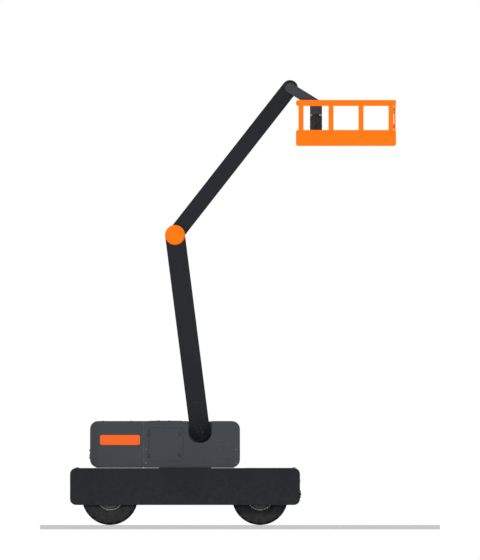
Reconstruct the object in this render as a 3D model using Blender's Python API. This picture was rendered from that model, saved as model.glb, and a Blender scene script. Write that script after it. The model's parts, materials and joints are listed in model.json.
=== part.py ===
"""Articulating boom lift: a wheeled chassis, a slewing turntable, two hinged booms, a short jib and a platform.

Metres. +X is the front, -Y the near side, +Z up. The origin is on the ground under the middle of the outline.
"""

import math

import bmesh
import bpy
from mathutils import Matrix, Vector

# Clearances shared by every piece
SEAT = 0.0003  # between two pieces that touch
RUN = 0.0001  # round a pin that turns in its bore
PLAY = 0.008  # between pieces that pass each other
OVER = 0.05  # how far a cutter runs past what it cuts
BITE = 0.004  # how far fused pieces run into each other
ROUND = 16  # sides of a tube
PIN_SIDES = 32  # sides of a pin and of its bore
ARC = 5  # steps of a quarter turn in an outline

# Wheels and axles
TYRE_RADIUS = 0.644
TYRE_WIDTH = 0.38
SHOULDER = 0.05
WHEEL_SIDES = 40
RIM_RADIUS = 0.30
RIM_WALL = 0.02
RIM_LIP = 0.02
RIM_DISH = 0.05
HUB_RADIUS = 0.11
HUB_CAP_RADIUS = 0.07
SPINDLE_RADIUS = 0.05
WHEELBASE = 3.45
REAR_WHEEL_INSET = 0.26
FRONT_WHEEL_INSET = 0.45
KINGPIN_OFFSET = 0.24
KINGPIN_RADIUS = 0.03
KNUCKLE_RADIUS = 0.065
KNUCKLE_HEIGHT = 0.22
YOKE_THICK = 0.035
YOKE_HALF = 0.08
AXLE_HEIGHT = 0.15
AXLE_DEPTH = 0.18
AXLE_PAD_HALF = 0.20
STEER_ARM_LENGTH = 0.30
STEER_ARM_INSET = 0.0
STEER_ARM_WIDTH = 0.07
STEER_ARM_THICK = 0.03
TIE_ROD_RADIUS = 0.022
TIE_EYE_RADIUS = 0.038

# Chassis
CHASSIS_REAR_X = -3.749
CHASSIS_LENGTH = 5.29
CHASSIS_BOTTOM = 0.46
CHASSIS_TOP = 1.311
CHASSIS_HALF = 1.25
CHASSIS_CORNER = 0.138
REAR_OVERHANG = 0.92
SKIRT_WALL = 0.03
DECK_PLATE = 0.010
FRAME_HALF = 0.34
FRAME_BOTTOM = 0.78
FRAME_DROP = 0.111
FRAME_END_GAP = 0.10
CROSS_THICK = 0.05
CROSS_BOTTOM = 0.62
CROSS_HOLE_RADIUS = 0.13
CROSS_HOLE_HALF = 0.78
RING_RADIUS = 0.60
RING_BORE = 0.46

# Turntable
TURN_GAP = 0.011
TURN_HEIGHT = 1.07
TAIL = 2.185
NOSE = 1.265
TURN_HALF = 1.15
TURN_CORNER = 0.184
DECK_HEIGHT = 0.075
DECK_SETBACK = 0.02
BAY_HALF = 0.40
HOOD_WALL = 0.025
TAIL_LENGTH = 1.235
TAIL_BAY_FLOOR = 0.48
TAIL_PLAN_CORNER = 0.22
SADDLE_HALF = 0.275
SADDLE_DROP = 0.275
PEDESTAL_HALF = 0.155
PEDESTAL_PLATE = 0.04
PEDESTAL_BACK = 0.46
PEDESTAL_FRONT = 0.88
PEDESTAL_TOP_GAP = 0.008
PEDESTAL_CORNER = 0.10
RIB_THICK = 0.04
RIB_HEIGHT = 0.16
MARKER_REAR = 0.23
MARKER_FRONT = 0.085
MARKER_HEIGHT = 0.23
MARKER_BOTTOM = 0.518
MARKER_PROUD = 0.012
MARKER_DEPTH = 0.03
MARKER_CORNER = 0.046
DOOR_LENGTH = 0.78
DOOR_TOP_GAP = 0.16
DOOR_SILL = 0.15
DOOR_REAR_GAP = 0.12
DOOR_CORNER = 0.05
DOOR_EDGE = 0.006
HINGE_RADIUS = 0.012
HINGE_LENGTH = 0.06
HINGE_LUG = 0.02
HINGE_GAP = 0.0005
HINGE_STAND = 0.018
HINGE_CLEAR = 0.006
ENGINE_LENGTH = 0.78
ENGINE_WIDTH = 0.46
ENGINE_HEIGHT = 0.62
ENGINE_AHEAD = 0.16

# Booms
FOOT_AHEAD = 0.345
FOOT_BELOW = 0.23
LOWER_LENGTH = 4.545
LOWER_HALF_DEPTH = 0.23
LOWER_HALF_WIDTH = 0.20
LOWER_LEAN = 7.27
CHEEK = 0.03
BOOM_PLATE = 0.02
FOOT_FORK = 0.62
HEAD_FORK = 1.50
HEAD_OPEN = 0.35
PIVOT_PAD_RADIUS = 0.15
PIVOT_PAD = 0.012
MAIN_PIN_RADIUS = 0.06
UPPER_LENGTH = 4.293
UPPER_HALF_DEPTH = 0.184
UPPER_HALF_WIDTH = 0.155
UPPER_RISE = 51.96
ROOT_GAP_HALF = 0.095
ROOT_FORK = 0.40
TIP_FORK = 0.34
HUB_DRUM_RADIUS = 0.14
TIP_DRUM_RADIUS = 0.12
TIP_PIN_RADIUS = 0.045
ELBOW_CAP_RADIUS = 0.23
ELBOW_CAP_THICK = 0.04
ELBOW_CAP_FACE_SHARE = 0.86

# Lift cylinder, hidden between the pedestal plates
CRANK_RADIUS = 0.40
CRANK_ANGLE = 205.0
CRANK_INNER = 0.042
CRANK_PLATE = 0.025
CRANK_EYE = 0.055
LIFT_PIN_RADIUS = 0.035
LIFT_BASE_INSET = 0.08
LIFT_BASE_DROP = 0.312
BARREL_RADIUS = 0.065
BARREL_BORE = 0.034
BARREL_LENGTH = 0.60
BARREL_WALL = 0.015
BARREL_EYE = 0.06
ROD_INSIDE = 0.08
ROD_EYE = 0.05

# Jib and platform head
JIB_LENGTH = 0.702
JIB_DROP = 31.6
JIB_HALF_DEPTH = 0.115
JIB_ARM_INNER = 0.17
JIB_ARM = 0.035
JIB_TUBE_AT = 0.36
JIB_TUBE_RADIUS = 0.05
LEVEL_PIN_RADIUS = 0.04
HEAD_TOP_RADIUS = 0.10
POST_HALF_X = 0.138
POST_HALF_Y = 0.125
HEAD_SHOULDER = 0.05
HEAD_DROP = 0.25
SPIGOT_RADIUS = 0.07
SPIGOT_RISE = 0.06

# Platform, measured from the jib's end
PLATFORM_REAR = 0.46
PLATFORM_LENGTH = 2.30
PLATFORM_NEAR_GAP = 0.26
PLATFORM_DEPTH = 0.90
PLATFORM_DROP = 0.966
TRAY_HEIGHT = 0.368
TRAY_WALL = 0.035
TRAY_CORNER = 0.046
FLOOR_RAISE = 0.09
FLOOR_PLATE = 0.02
RAIL_TOP = 0.092
RAIL_HEIGHT = 0.138
RAIL_THICK = 0.05
RAIL_CORNER = 0.05
RAIL_POST_WIDTH = 0.115
RAIL_POST_FIRST = 0.115
RAIL_POSTS = 4
RAIL_POST_PITCH = (PLATFORM_LENGTH - 2 * RAIL_POST_FIRST) / (RAIL_POSTS - 1)
ARM_INNER = 0.04
ARM_OUTER = 0.11
ARM_HEIGHT = 0.07
ARM_REACH = 0.92
BRACKET_HEIGHT = 0.30
GATE_STILE = 0.05
GATE_BAR = 0.035
GATE_HINGE_INSET = 0.025
GATE_SILL = 0.012
CONSOLE_WIDTH = 0.25
CONSOLE_DEPTH = 0.18
CONSOLE_HEIGHT = 0.26
CONSOLE_SLOPE = 0.07

# Colours as linear RGB, roughness and metallic
PAINTS = {
    "dark_paint": ((0.0232, 0.0273, 0.0331), 0.45, 0.0),
    "grey_paint": ((0.0595, 0.0666, 0.0762), 0.45, 0.0),
    "orange_paint": ((1.0, 0.195, 0.0012), 0.40, 0.0),
    "marker_lens": ((0.888, 0.136, 0.0152), 0.25, 0.0),
    "tyre_rubber": ((0.0232, 0.0273, 0.0331), 0.85, 0.0),
    "machined_steel": ((0.45, 0.45, 0.46), 0.30, 1.0),
    "cast_iron": ((0.08, 0.08, 0.085), 0.6, 0.6),
}

# Places that follow from the sizes
REAR_AXLE_X = CHASSIS_REAR_X + REAR_OVERHANG
FRONT_AXLE_X = REAR_AXLE_X + WHEELBASE
SLEW_X = (REAR_AXLE_X + FRONT_AXLE_X) / 2
REAR_TRACK_HALF = CHASSIS_HALF - REAR_WHEEL_INSET
FRONT_TRACK_HALF = CHASSIS_HALF - FRONT_WHEEL_INSET
KINGPIN_HALF = FRONT_TRACK_HALF - KINGPIN_OFFSET
MARKER_LENGTH = TAIL_LENGTH - MARKER_REAR - MARKER_FRONT
CHASSIS_FRONT_X = CHASSIS_REAR_X + CHASSIS_LENGTH
FRAME_TOP = CHASSIS_TOP - FRAME_DROP
TURN_BOTTOM = CHASSIS_TOP + TURN_GAP
TURN_TOP = TURN_BOTTOM + TURN_HEIGHT
FOOT_Z = TURN_TOP - FOOT_BELOW
TURN_REAR_X = SLEW_X - TAIL
TURN_FRONT_X = SLEW_X + NOSE
HOOD_REAR_X = TURN_REAR_X + TAIL_LENGTH + SEAT
DECK_TOP = TURN_BOTTOM + DECK_HEIGHT
LOWER_ANGLE = math.radians(90 + LOWER_LEAN)
UPPER_ANGLE = math.radians(UPPER_RISE)
JIB_ANGLE = math.radians(-JIB_DROP)


def along(angle, length):
    """The step of that length at that angle above +X, in the machine's middle plane."""
    return Vector((length * math.cos(angle), 0, length * math.sin(angle)))


SLEW = Vector((SLEW_X, 0, 0))
FOOT = Vector((SLEW_X + FOOT_AHEAD, 0, FOOT_Z))
ELBOW = FOOT + along(LOWER_ANGLE, LOWER_LENGTH)
TIP = ELBOW + along(UPPER_ANGLE, UPPER_LENGTH)
POST = TIP + along(JIB_ANGLE, JIB_LENGTH)
CRANK_PIN = FOOT + along(math.radians(CRANK_ANGLE), CRANK_RADIUS)
LIFT_BASE = FOOT + Vector((PEDESTAL_FRONT - LIFT_BASE_INSET, 0, -LIFT_BASE_DROP))
LIFT_RUN = CRANK_PIN - LIFT_BASE
LIFT_ANGLE = math.atan2(LIFT_RUN.z, LIFT_RUN.x)
PLATFORM_LOW = Vector((POST.x - PLATFORM_REAR, -PLATFORM_NEAR_GAP - PLATFORM_DEPTH, POST.z - PLATFORM_DROP))
PLATFORM_HIGH = Vector((PLATFORM_LOW.x + PLATFORM_LENGTH, -PLATFORM_NEAR_GAP, POST.z + RAIL_TOP))
TRAY_TOP = PLATFORM_LOW.z + TRAY_HEIGHT
FLOOR_TOP = PLATFORM_LOW.z + FLOOR_RAISE + FLOOR_PLATE


# Outlines, as lists of (a, b) points that run anticlockwise


def arc(a, b, radius, start, end, steps):
    """Points on a circle round (a, b), from one angle in degrees to another."""
    angles = [math.radians(start + (end - start) * n / steps) for n in range(steps + 1)]
    return [(a + radius * math.cos(t), b + radius * math.sin(t)) for t in angles]


def rectangle(a0, a1, b0, b1, low_left=0, low_right=0, top_right=0, top_left=0, steps=ARC):
    """A rectangle with its own radius at each corner, where zero is square."""
    corners = (
        (a0, b0, 1, 1, low_left, 180),
        (a1, b0, -1, 1, low_right, 270),
        (a1, b1, -1, -1, top_right, 0),
        (a0, b1, 1, -1, top_left, 90),
    )
    points = []
    for a, b, inward_a, inward_b, radius, start in corners:
        if radius:
            points += arc(a + inward_a * radius, b + inward_b * radius, radius, start, start + 90, steps)
        else:
            points.append((a, b))
    return points


def bar(length, half):
    """A bar with round ends, from one pivot at zero to the other at length."""
    return arc(length, 0, half, -90, 90, 2 * ARC) + arc(0, 0, half, 90, 270, 2 * ARC)


# Solids, each a temporary mesh object


def solid(mesh_builder):
    """A new mesh object from a bmesh, with its faces pointing out."""
    bmesh.ops.recalc_face_normals(mesh_builder, faces=mesh_builder.faces)
    mesh = bpy.data.meshes.new("solid")
    mesh_builder.to_mesh(mesh)
    mesh_builder.free()
    made = bpy.data.objects.new("solid", mesh)
    bpy.context.scene.collection.objects.link(made)
    return made


PLACES = {
    "X": lambda a, b, c: (c, a, b),
    "Y": lambda a, b, c: (a, c, b),
    "Z": lambda a, b, c: (a, b, c),
}


def prism(outline, axis, low, high):
    """An outline in the two other axes, in X, Y, Z order, extruded along the axis from low to high."""
    builder = bmesh.new()
    base = builder.faces.new([builder.verts.new(PLACES[axis](a, b, low)) for a, b in outline])
    pushed = bmesh.ops.extrude_face_region(builder, geom=[base])["geom"]
    step = Vector(PLACES[axis](0, 0, high - low))
    bmesh.ops.translate(builder, verts=[v for v in pushed if isinstance(v, bmesh.types.BMVert)], vec=step)
    return solid(builder)


def bored(radius, sides=PIN_SIDES):
    """The radius of a hole, by its corners, that a pin of that radius turns in."""
    return (radius + RUN) / math.cos(math.pi / sides)


def box(x0, x1, y0, y1, z0, z1):
    return prism(rectangle(x0, x1, y0, y1), "Z", z0, z1)


def rod(start, end, radius, sides=ROUND, end_radius=None):
    """A round bar between two points, or a cone where it has an end radius."""
    start, end = Vector(start), Vector(end)
    run = end - start
    builder = bmesh.new()
    turn = run.to_track_quat("Z", "Y").to_matrix().to_4x4()
    bmesh.ops.create_cone(
        builder,
        cap_ends=True,
        segments=sides,
        radius1=radius,
        radius2=radius if end_radius is None else end_radius,
        depth=run.length,
        matrix=Matrix.Translation((start + end) / 2) @ turn,
    )
    return solid(builder)


def pin(x, z, half, radius, sides=PIN_SIDES):
    """A round bar across the machine, from -half to half."""
    return rod((x, -half, z), (x, half, z), radius, sides)


def turned(profile, sides):
    """A closed profile of (radius, y) points, spun round the Y axis."""
    builder = bmesh.new()
    ring = [builder.verts.new((radius, y, 0)) for radius, y in profile]
    edges = [builder.edges.new((ring[n - 1], ring[n])) for n in range(len(ring))]
    bmesh.ops.spin(
        builder, geom=ring + edges, cent=(0, 0, 0), axis=(0, 1, 0), angle=math.tau, steps=sides, use_merge=True
    )
    bmesh.ops.remove_doubles(builder, verts=builder.verts, dist=SEAT / 10)
    return solid(builder)


def combine(base, others, operation):
    """The base with the others joined to it or cut from it."""
    for other in others:
        step = base.modifiers.new(operation.lower(), "BOOLEAN")
        step.operation = operation
        step.solver = "EXACT"
        step.object = other
    graph = bpy.context.evaluated_depsgraph_get()
    mesh = bpy.data.meshes.new_from_object(base.evaluated_get(graph))
    base.modifiers.clear()
    base.data = mesh
    for other in others:
        bpy.data.objects.remove(other)
    return base


def fuse(base, *others):
    return combine(base, others, "UNION")


def cut(base, *others):
    return combine(base, others, "DIFFERENCE")


def moved(made, offset=(0, 0, 0), turn=0.0, mirror=False):
    """The solid turned about Y, mirrored across the middle plane if asked, and shifted."""
    matrix = Matrix.Translation(offset) @ Matrix.Rotation(turn, 4, "Y")
    if mirror:
        matrix = matrix @ Matrix.Scale(-1, 4, (0, 1, 0))
    made.data.transform(matrix)
    if mirror:
        made.data.flip_normals()
    return made


# Scene helpers


def clear_scene():
    for old in list(bpy.data.objects):
        bpy.data.objects.remove(old)


def paint(name):
    found = bpy.data.materials.get(name)
    if found:
        return found
    colour, roughness, metallic = PAINTS[name]
    made = bpy.data.materials.new(name)
    made.use_nodes = True
    shader = made.node_tree.nodes["Principled BSDF"]
    shader.inputs["Base Color"].default_value = (*colour, 1)
    shader.inputs["Roughness"].default_value = roughness
    shader.inputs["Metallic"].default_value = metallic
    return made


def body(name, place, parent=None):
    """An empty on a body's joint axis, which carries the body's pieces."""
    made = bpy.data.objects.new(name + "_axis", None)
    bpy.context.scene.collection.objects.link(made)
    made.parent = parent
    made["place"] = list(place)
    made.location = Vector(place) - (Vector(parent["place"]) if parent else Vector())
    return made


def piece(made, name, material, carrier, turn=0.0):
    """Names and paints a solid and hangs it on its body. A turned piece is modelled along +X from its pivot."""
    if turn:
        made.rotation_euler = (0, -turn, 0)
    else:
        made.data.transform(Matrix.Translation(-Vector(carrier["place"])))
    made.name = name
    made.data.name = name
    made.data.materials.clear()
    made.data.materials.append(paint(material))
    made.data.shade_smooth()
    made.data.set_sharp_from_angle(angle=math.radians(35))
    made.parent = carrier
    return made


def hinge_eye(x, y, low, high, wall):
    """A round eye on an upright hinge axis, drawn out to two points inside the wall it sits on."""
    builder = bmesh.new()
    outline = arc(x, y, HINGE_RADIUS, 0, 360 - 360 / ROUND, ROUND - 1) + list(wall)
    corners = [builder.verts.new((a, b, z)) for a, b in outline for z in (low, high)]
    bmesh.ops.convex_hull(builder, input=corners)
    loose = [v for v in builder.verts if not v.link_faces]
    bmesh.ops.delete(builder, geom=loose, context="VERTS")
    return solid(builder)


def hinge_lugs(x, y, z, wall):
    """The fixed eyes over and under a moving eye that starts at z."""
    lows = (z - HINGE_GAP - HINGE_LUG, z + HINGE_LENGTH + HINGE_GAP)
    return [hinge_eye(x, y, low, low + HINGE_LUG, wall) for low in lows]


# Wheels


def tyre_solid():
    """A tyre round its own centre, with a square shoulder and a bulged wall. Its tread pattern is a surface detail."""
    half = TYRE_WIDTH / 2
    inner = RIM_RADIUS + SEAT
    bulge = (RIM_RADIUS + TYRE_RADIUS) / 2
    profile = [
        (inner, -half + SHOULDER),
        (inner + RIM_LIP, -half + SHOULDER / 3),
        (bulge, -half),
        (TYRE_RADIUS - SHOULDER, -half + SHOULDER / 5),
        (TYRE_RADIUS - SHOULDER / 3, -half + SHOULDER / 2),
        (TYRE_RADIUS, -half + SHOULDER),
        (TYRE_RADIUS, half - SHOULDER),
        (TYRE_RADIUS - SHOULDER / 3, half - SHOULDER / 2),
        (TYRE_RADIUS - SHOULDER, half - SHOULDER / 5),
        (bulge, half),
        (inner + RIM_LIP, half - SHOULDER / 3),
        (inner, half - SHOULDER),
    ]
    return turned(profile, WHEEL_SIDES)


def rim_solid():
    """A dished rim round its own centre, with its outer face at -Y."""
    half = TYRE_WIDTH / 2 - SHOULDER
    profile = [
        (bored(SPINDLE_RADIUS, WHEEL_SIDES), -half + RIM_DISH),
        (HUB_CAP_RADIUS, -half + RIM_DISH / 2),
        (HUB_RADIUS, -half + RIM_DISH / 2),
        (HUB_RADIUS + RIM_LIP, -half + RIM_DISH),
        (RIM_RADIUS - RIM_WALL * 2, -half + RIM_DISH + RIM_LIP),
        (RIM_RADIUS - RIM_WALL, -half),
        (RIM_RADIUS, -half),
        (RIM_RADIUS, half),
        (RIM_RADIUS - RIM_WALL, half),
        (RIM_RADIUS - RIM_WALL * 2, -half + RIM_DISH + RIM_LIP * 2),
        (HUB_RADIUS + RIM_LIP, -half + RIM_DISH + RIM_LIP * 2),
        (HUB_RADIUS, 0),
        (bored(SPINDLE_RADIUS, WHEEL_SIDES), 0),
    ]
    return turned(profile, WHEEL_SIDES)


def wheel(name, x, y, parent):
    """One wheel body: tyre and rim on one axis, the dish facing out."""
    centre = Vector((x, y, TYRE_RADIUS))
    carrier = body("wheel_" + name, centre, parent)
    far = y > 0
    tyre = piece(moved(tyre_solid(), centre, mirror=far), "tyre_" + name, "tyre_rubber", carrier)
    rim = piece(moved(rim_solid(), centre, mirror=far), "rim_" + name, "grey_paint", carrier)
    return tyre, rim


def spindle(x, side, start, track):
    """A stub shaft from inside out through the rim's hub, with a cap that keeps the rim on."""
    face = track - TYRE_WIDTH / 2 + SHOULDER
    end = track + TYRE_WIDTH / 2 - SHOULDER - RIM_DISH
    flange = face + TYRE_WIDTH / 2 - SHOULDER - PLAY - RIM_LIP
    shaft = rod((x, side * start, TYRE_RADIUS), (x, side * end, TYRE_RADIUS), SPINDLE_RADIUS, WHEEL_SIDES)
    collar = rod((x, side * start, TYRE_RADIUS), (x, side * flange, TYRE_RADIUS), HUB_CAP_RADIUS)
    return fuse(shaft, collar)


def axle_beam(x, half):
    """The beam between the wheels, with a pad under the frame."""
    low = TYRE_RADIUS - AXLE_HEIGHT / 2
    beam = box(x - AXLE_DEPTH / 2, x + AXLE_DEPTH / 2, -half, half, low, low + AXLE_HEIGHT)
    pad = box(
        x - AXLE_DEPTH / 2 - SHOULDER,
        x + AXLE_DEPTH / 2 + SHOULDER,
        -AXLE_PAD_HALF,
        AXLE_PAD_HALF,
        low + AXLE_HEIGHT / 2,
        FRAME_BOTTOM - SEAT,
    )
    return fuse(beam, pad)


def rear_axle(chassis):
    half = REAR_TRACK_HALF - TYRE_WIDTH / 2 - PLAY
    beam = axle_beam(REAR_AXLE_X, half)
    stubs = [spindle(REAR_AXLE_X, side, half - BITE, REAR_TRACK_HALF) for side in (-1, 1)]
    piece(fuse(beam, *stubs), "rear_axle", "dark_paint", chassis)
    for side, name in ((-1, "rear_near"), (1, "rear_far")):
        wheel(name, REAR_AXLE_X, side * REAR_TRACK_HALF, chassis)


def front_axle(chassis):
    """The steered axle: a beam with a yoke at each end round its knuckle."""
    x = FRONT_AXLE_X
    inner = KINGPIN_HALF - YOKE_HALF - PLAY
    middle = TYRE_RADIUS
    gap = KNUCKLE_HEIGHT / 2 + RUN
    beam = axle_beam(x, inner)
    parts = []
    for side in (-1, 1):
        near, far = sorted((side * inner, side * (KINGPIN_HALF - KNUCKLE_RADIUS - PLAY)))
        web = box(x - YOKE_HALF, x + YOKE_HALF, near - BITE, far, middle - gap - YOKE_THICK, middle + gap + YOKE_THICK)
        parts.append(web)
        y0, y1 = sorted((side * inner, side * (KINGPIN_HALF + KINGPIN_RADIUS + RUN + TIE_ROD_RADIUS)))
        for low in (middle - gap - YOKE_THICK, middle + gap):
            parts.append(box(x - YOKE_HALF, x + YOKE_HALF, y0, y1, low, low + YOKE_THICK))
    beam = fuse(beam, *parts)
    bores = [
        rod(
            (x, side * KINGPIN_HALF, middle - gap - YOKE_THICK - OVER),
            (x, side * KINGPIN_HALF, middle + gap + YOKE_THICK + OVER),
            bored(KINGPIN_RADIUS),
            PIN_SIDES,
        )
        for side in (-1, 1)
    ]
    piece(cut(beam, *bores), "front_axle", "dark_paint", chassis)
    for side, name in ((-1, "near"), (1, "far")):
        knuckle(side, name, chassis)
    tie_rod(chassis)


def knuckle(side, name, chassis):
    """The upright that turns on its kingpin, with its spindle and steering arm."""
    x, y = FRONT_AXLE_X, side * KINGPIN_HALF
    middle, half = TYRE_RADIUS, KNUCKLE_HEIGHT / 2
    carrier = body("knuckle_" + name, (x, y, middle), chassis)
    upright = rod((x, y, middle - half), (x, y, middle + half), KNUCKLE_RADIUS)
    reach = half + YOKE_THICK + RUN
    king = rod((x, y, middle - reach), (x, y, middle + reach), KINGPIN_RADIUS, PIN_SIDES)
    stub = spindle(x, side, KINGPIN_HALF, FRONT_TRACK_HALF)
    arm_y = side * (KINGPIN_HALF - STEER_ARM_INSET)
    low, high = sorted((y, arm_y))
    arm = prism(
        rectangle(
            x - STEER_ARM_LENGTH - STEER_ARM_WIDTH / 2,
            x,
            low - STEER_ARM_WIDTH / 2,
            high + STEER_ARM_WIDTH / 2,
            STEER_ARM_WIDTH / 3,
            0,
            0,
            STEER_ARM_WIDTH / 3,
        ),
        "Z",
        middle - half / 2 - STEER_ARM_THICK,
        middle - half / 2,
    )
    piece(fuse(upright, king, stub, arm), "knuckle_" + name, "cast_iron", carrier)
    wheel("front_" + name, x, side * FRONT_TRACK_HALF, carrier)


def tie_rod(chassis):
    """The rod that keeps the two steering arms together, lying just over them."""
    x = FRONT_AXLE_X - STEER_ARM_LENGTH
    y = KINGPIN_HALF - STEER_ARM_INSET
    low = TYRE_RADIUS - KNUCKLE_HEIGHT / 4 + RUN
    z = low + TIE_EYE_RADIUS
    carrier = body("tie_rod", (x, 0, z), chassis)
    rail = rod((x, -y, z), (x, y, z), TIE_ROD_RADIUS)
    eyes = [rod((x, side * y, low), (x, side * y, z + TIE_ROD_RADIUS), TIE_EYE_RADIUS) for side in (-1, 1)]
    piece(fuse(rail, *eyes), "tie_rod", "machined_steel", carrier)


# Chassis


def chassis_shell(chassis):
    """The deck and skirts: a box open underneath, with the slew ring's hole in its deck."""
    r = CHASSIS_CORNER
    outer = prism(
        rectangle(CHASSIS_REAR_X, CHASSIS_FRONT_X, CHASSIS_BOTTOM, CHASSIS_TOP, r, r, r, r),
        "Y",
        -CHASSIS_HALF,
        CHASSIS_HALF,
    )
    inner_corner = r - SKIRT_WALL
    hollow = prism(
        rectangle(
            CHASSIS_REAR_X + SKIRT_WALL,
            CHASSIS_FRONT_X - SKIRT_WALL,
            CHASSIS_BOTTOM - OVER,
            CHASSIS_TOP - DECK_PLATE,
            0,
            0,
            inner_corner,
            inner_corner,
        ),
        "Y",
        -CHASSIS_HALF + SKIRT_WALL,
        CHASSIS_HALF - SKIRT_WALL,
    )
    hole = rod((SLEW_X, 0, FRAME_TOP), (SLEW_X, 0, CHASSIS_TOP + OVER), RING_RADIUS + SEAT, 2 * ROUND)
    piece(cut(outer, hollow, hole), "chassis_shell", "dark_paint", chassis)


def chassis_frame(chassis):
    """The central beam and the cross plates that carry the shell."""
    frame = box(
        CHASSIS_REAR_X + FRAME_END_GAP,
        CHASSIS_FRONT_X - FRAME_END_GAP,
        -FRAME_HALF,
        FRAME_HALF,
        FRAME_BOTTOM,
        FRAME_TOP,
    )
    tyre_reach = TYRE_RADIUS + SHOULDER + CROSS_THICK
    steer_reach = TYRE_RADIUS + SHOULDER * 3
    width = CHASSIS_HALF - SKIRT_WALL - SEAT
    crosses = []
    for x in (
        CHASSIS_REAR_X + FRAME_END_GAP,
        REAR_AXLE_X + tyre_reach,
        FRONT_AXLE_X - steer_reach - CROSS_THICK,
        CHASSIS_FRONT_X - FRAME_END_GAP - CROSS_THICK,
    ):
        plate = box(x, x + CROSS_THICK, -width, width, CROSS_BOTTOM, CHASSIS_TOP - DECK_PLATE - CHASSIS_CORNER / 2)
        middle = (CROSS_BOTTOM + CHASSIS_TOP - CHASSIS_CORNER) / 2
        holes = [
            rod(
                (x - OVER, side * CROSS_HOLE_HALF, middle),
                (x + CROSS_THICK + OVER, side * CROSS_HOLE_HALF, middle),
                CROSS_HOLE_RADIUS,
            )
            for side in (-1, 1)
        ]
        crosses.append(cut(plate, *holes))
    piece(fuse(frame, *crosses), "chassis_frame", "dark_paint", chassis)


def slew_ring(chassis):
    low, high = FRAME_TOP + SEAT, TURN_BOTTOM - SEAT
    ring = rod((SLEW_X, 0, low), (SLEW_X, 0, high), RING_RADIUS, 2 * ROUND)
    bore = rod((SLEW_X, 0, low - OVER), (SLEW_X, 0, high + OVER), RING_BORE, 2 * ROUND)
    piece(cut(ring, bore), "slew_ring", "machined_steel", chassis)


# Turntable


def turntable_deck(turntable):
    """The plate that turns on the slew ring and carries everything above it."""
    deck = box(
        HOOD_REAR_X + HOOD_WALL,
        TURN_FRONT_X - TURN_CORNER - DECK_SETBACK,
        -TURN_HALF + HOOD_WALL + SEAT,
        TURN_HALF - HOOD_WALL - SEAT,
        TURN_BOTTOM,
        DECK_TOP,
    )
    tongue = box(
        TURN_REAR_X + TAIL_LENGTH + SEAT, SLEW_X, -BAY_HALF + HOOD_WALL, BAY_HALF - HOOD_WALL, TURN_BOTTOM, DECK_TOP
    )
    piece(fuse(deck, tongue), "turntable_deck", "dark_paint", turntable)


def saddle(grown, half_width):
    """The space over the boom's foot, as wide as the boom needs, right across the turntable."""
    half = SADDLE_HALF + grown
    low = FOOT_Z - SADDLE_DROP - grown
    outline = rectangle(FOOT.x - half, FOOT.x + half, low, TURN_TOP + OVER, half * 0.9, half * 0.9)
    return prism(outline, "Y", -half_width, half_width)


def counterweight(turntable):
    """The cast tail, rounded in plan and in elevation, with the boom's bay along its middle."""
    r = TURN_CORNER
    side_view = prism(
        rectangle(TURN_REAR_X, TURN_REAR_X + TAIL_LENGTH, TURN_BOTTOM, TURN_TOP, r, 0, 0, r),
        "Y",
        -TURN_HALF,
        TURN_HALF,
    )
    plan = prism(
        rectangle(
            TURN_REAR_X,
            TURN_REAR_X + TAIL_LENGTH,
            -TURN_HALF,
            TURN_HALF,
            TAIL_PLAN_CORNER,
            0,
            0,
            TAIL_PLAN_CORNER,
        ),
        "Z",
        TURN_BOTTOM - OVER,
        TURN_TOP + OVER,
    )
    cast = combine(side_view, [plan], "INTERSECT")
    bay = box(
        TURN_REAR_X - OVER,
        TURN_REAR_X + TAIL_LENGTH + OVER,
        -BAY_HALF,
        BAY_HALF,
        TURN_BOTTOM + TAIL_BAY_FLOOR,
        TURN_TOP + OVER,
    )
    pockets = [marker_solid(side, SEAT) for side in (-1, 1)]
    piece(cut(cast, bay, *pockets), "counterweight", "grey_paint", turntable)


def marker_solid(side, grown):
    """The side marker's block, or its pocket where it is grown."""
    x0 = TURN_REAR_X + MARKER_REAR - grown
    x1 = TURN_REAR_X + MARKER_REAR + MARKER_LENGTH + grown
    z0 = TURN_BOTTOM + MARKER_BOTTOM - grown
    z1 = TURN_BOTTOM + MARKER_BOTTOM + MARKER_HEIGHT + grown
    r = MARKER_CORNER
    outer = TURN_HALF + (OVER if grown else MARKER_PROUD)
    y0, y1 = sorted((side * (TURN_HALF - MARKER_DEPTH - grown), side * outer))
    return prism(rectangle(x0, x1, z0, z1, r, r, r, r), "Y", y0, y1)


def door_place(side):
    """The door's corners in its hood's side: x0, x1, z0, z1."""
    x0 = HOOD_REAR_X + DOOR_REAR_GAP
    return x0, x0 + DOOR_LENGTH, TURN_BOTTOM + DOOR_SILL, TURN_TOP - DOOR_TOP_GAP


def door_hinges(side):
    """Heights of a door's two hinges."""
    x0, x1, z0, z1 = door_place(side)
    return (z0 + DOOR_CORNER * 2, z1 - DOOR_CORNER * 2 - HINGE_LENGTH)


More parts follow.
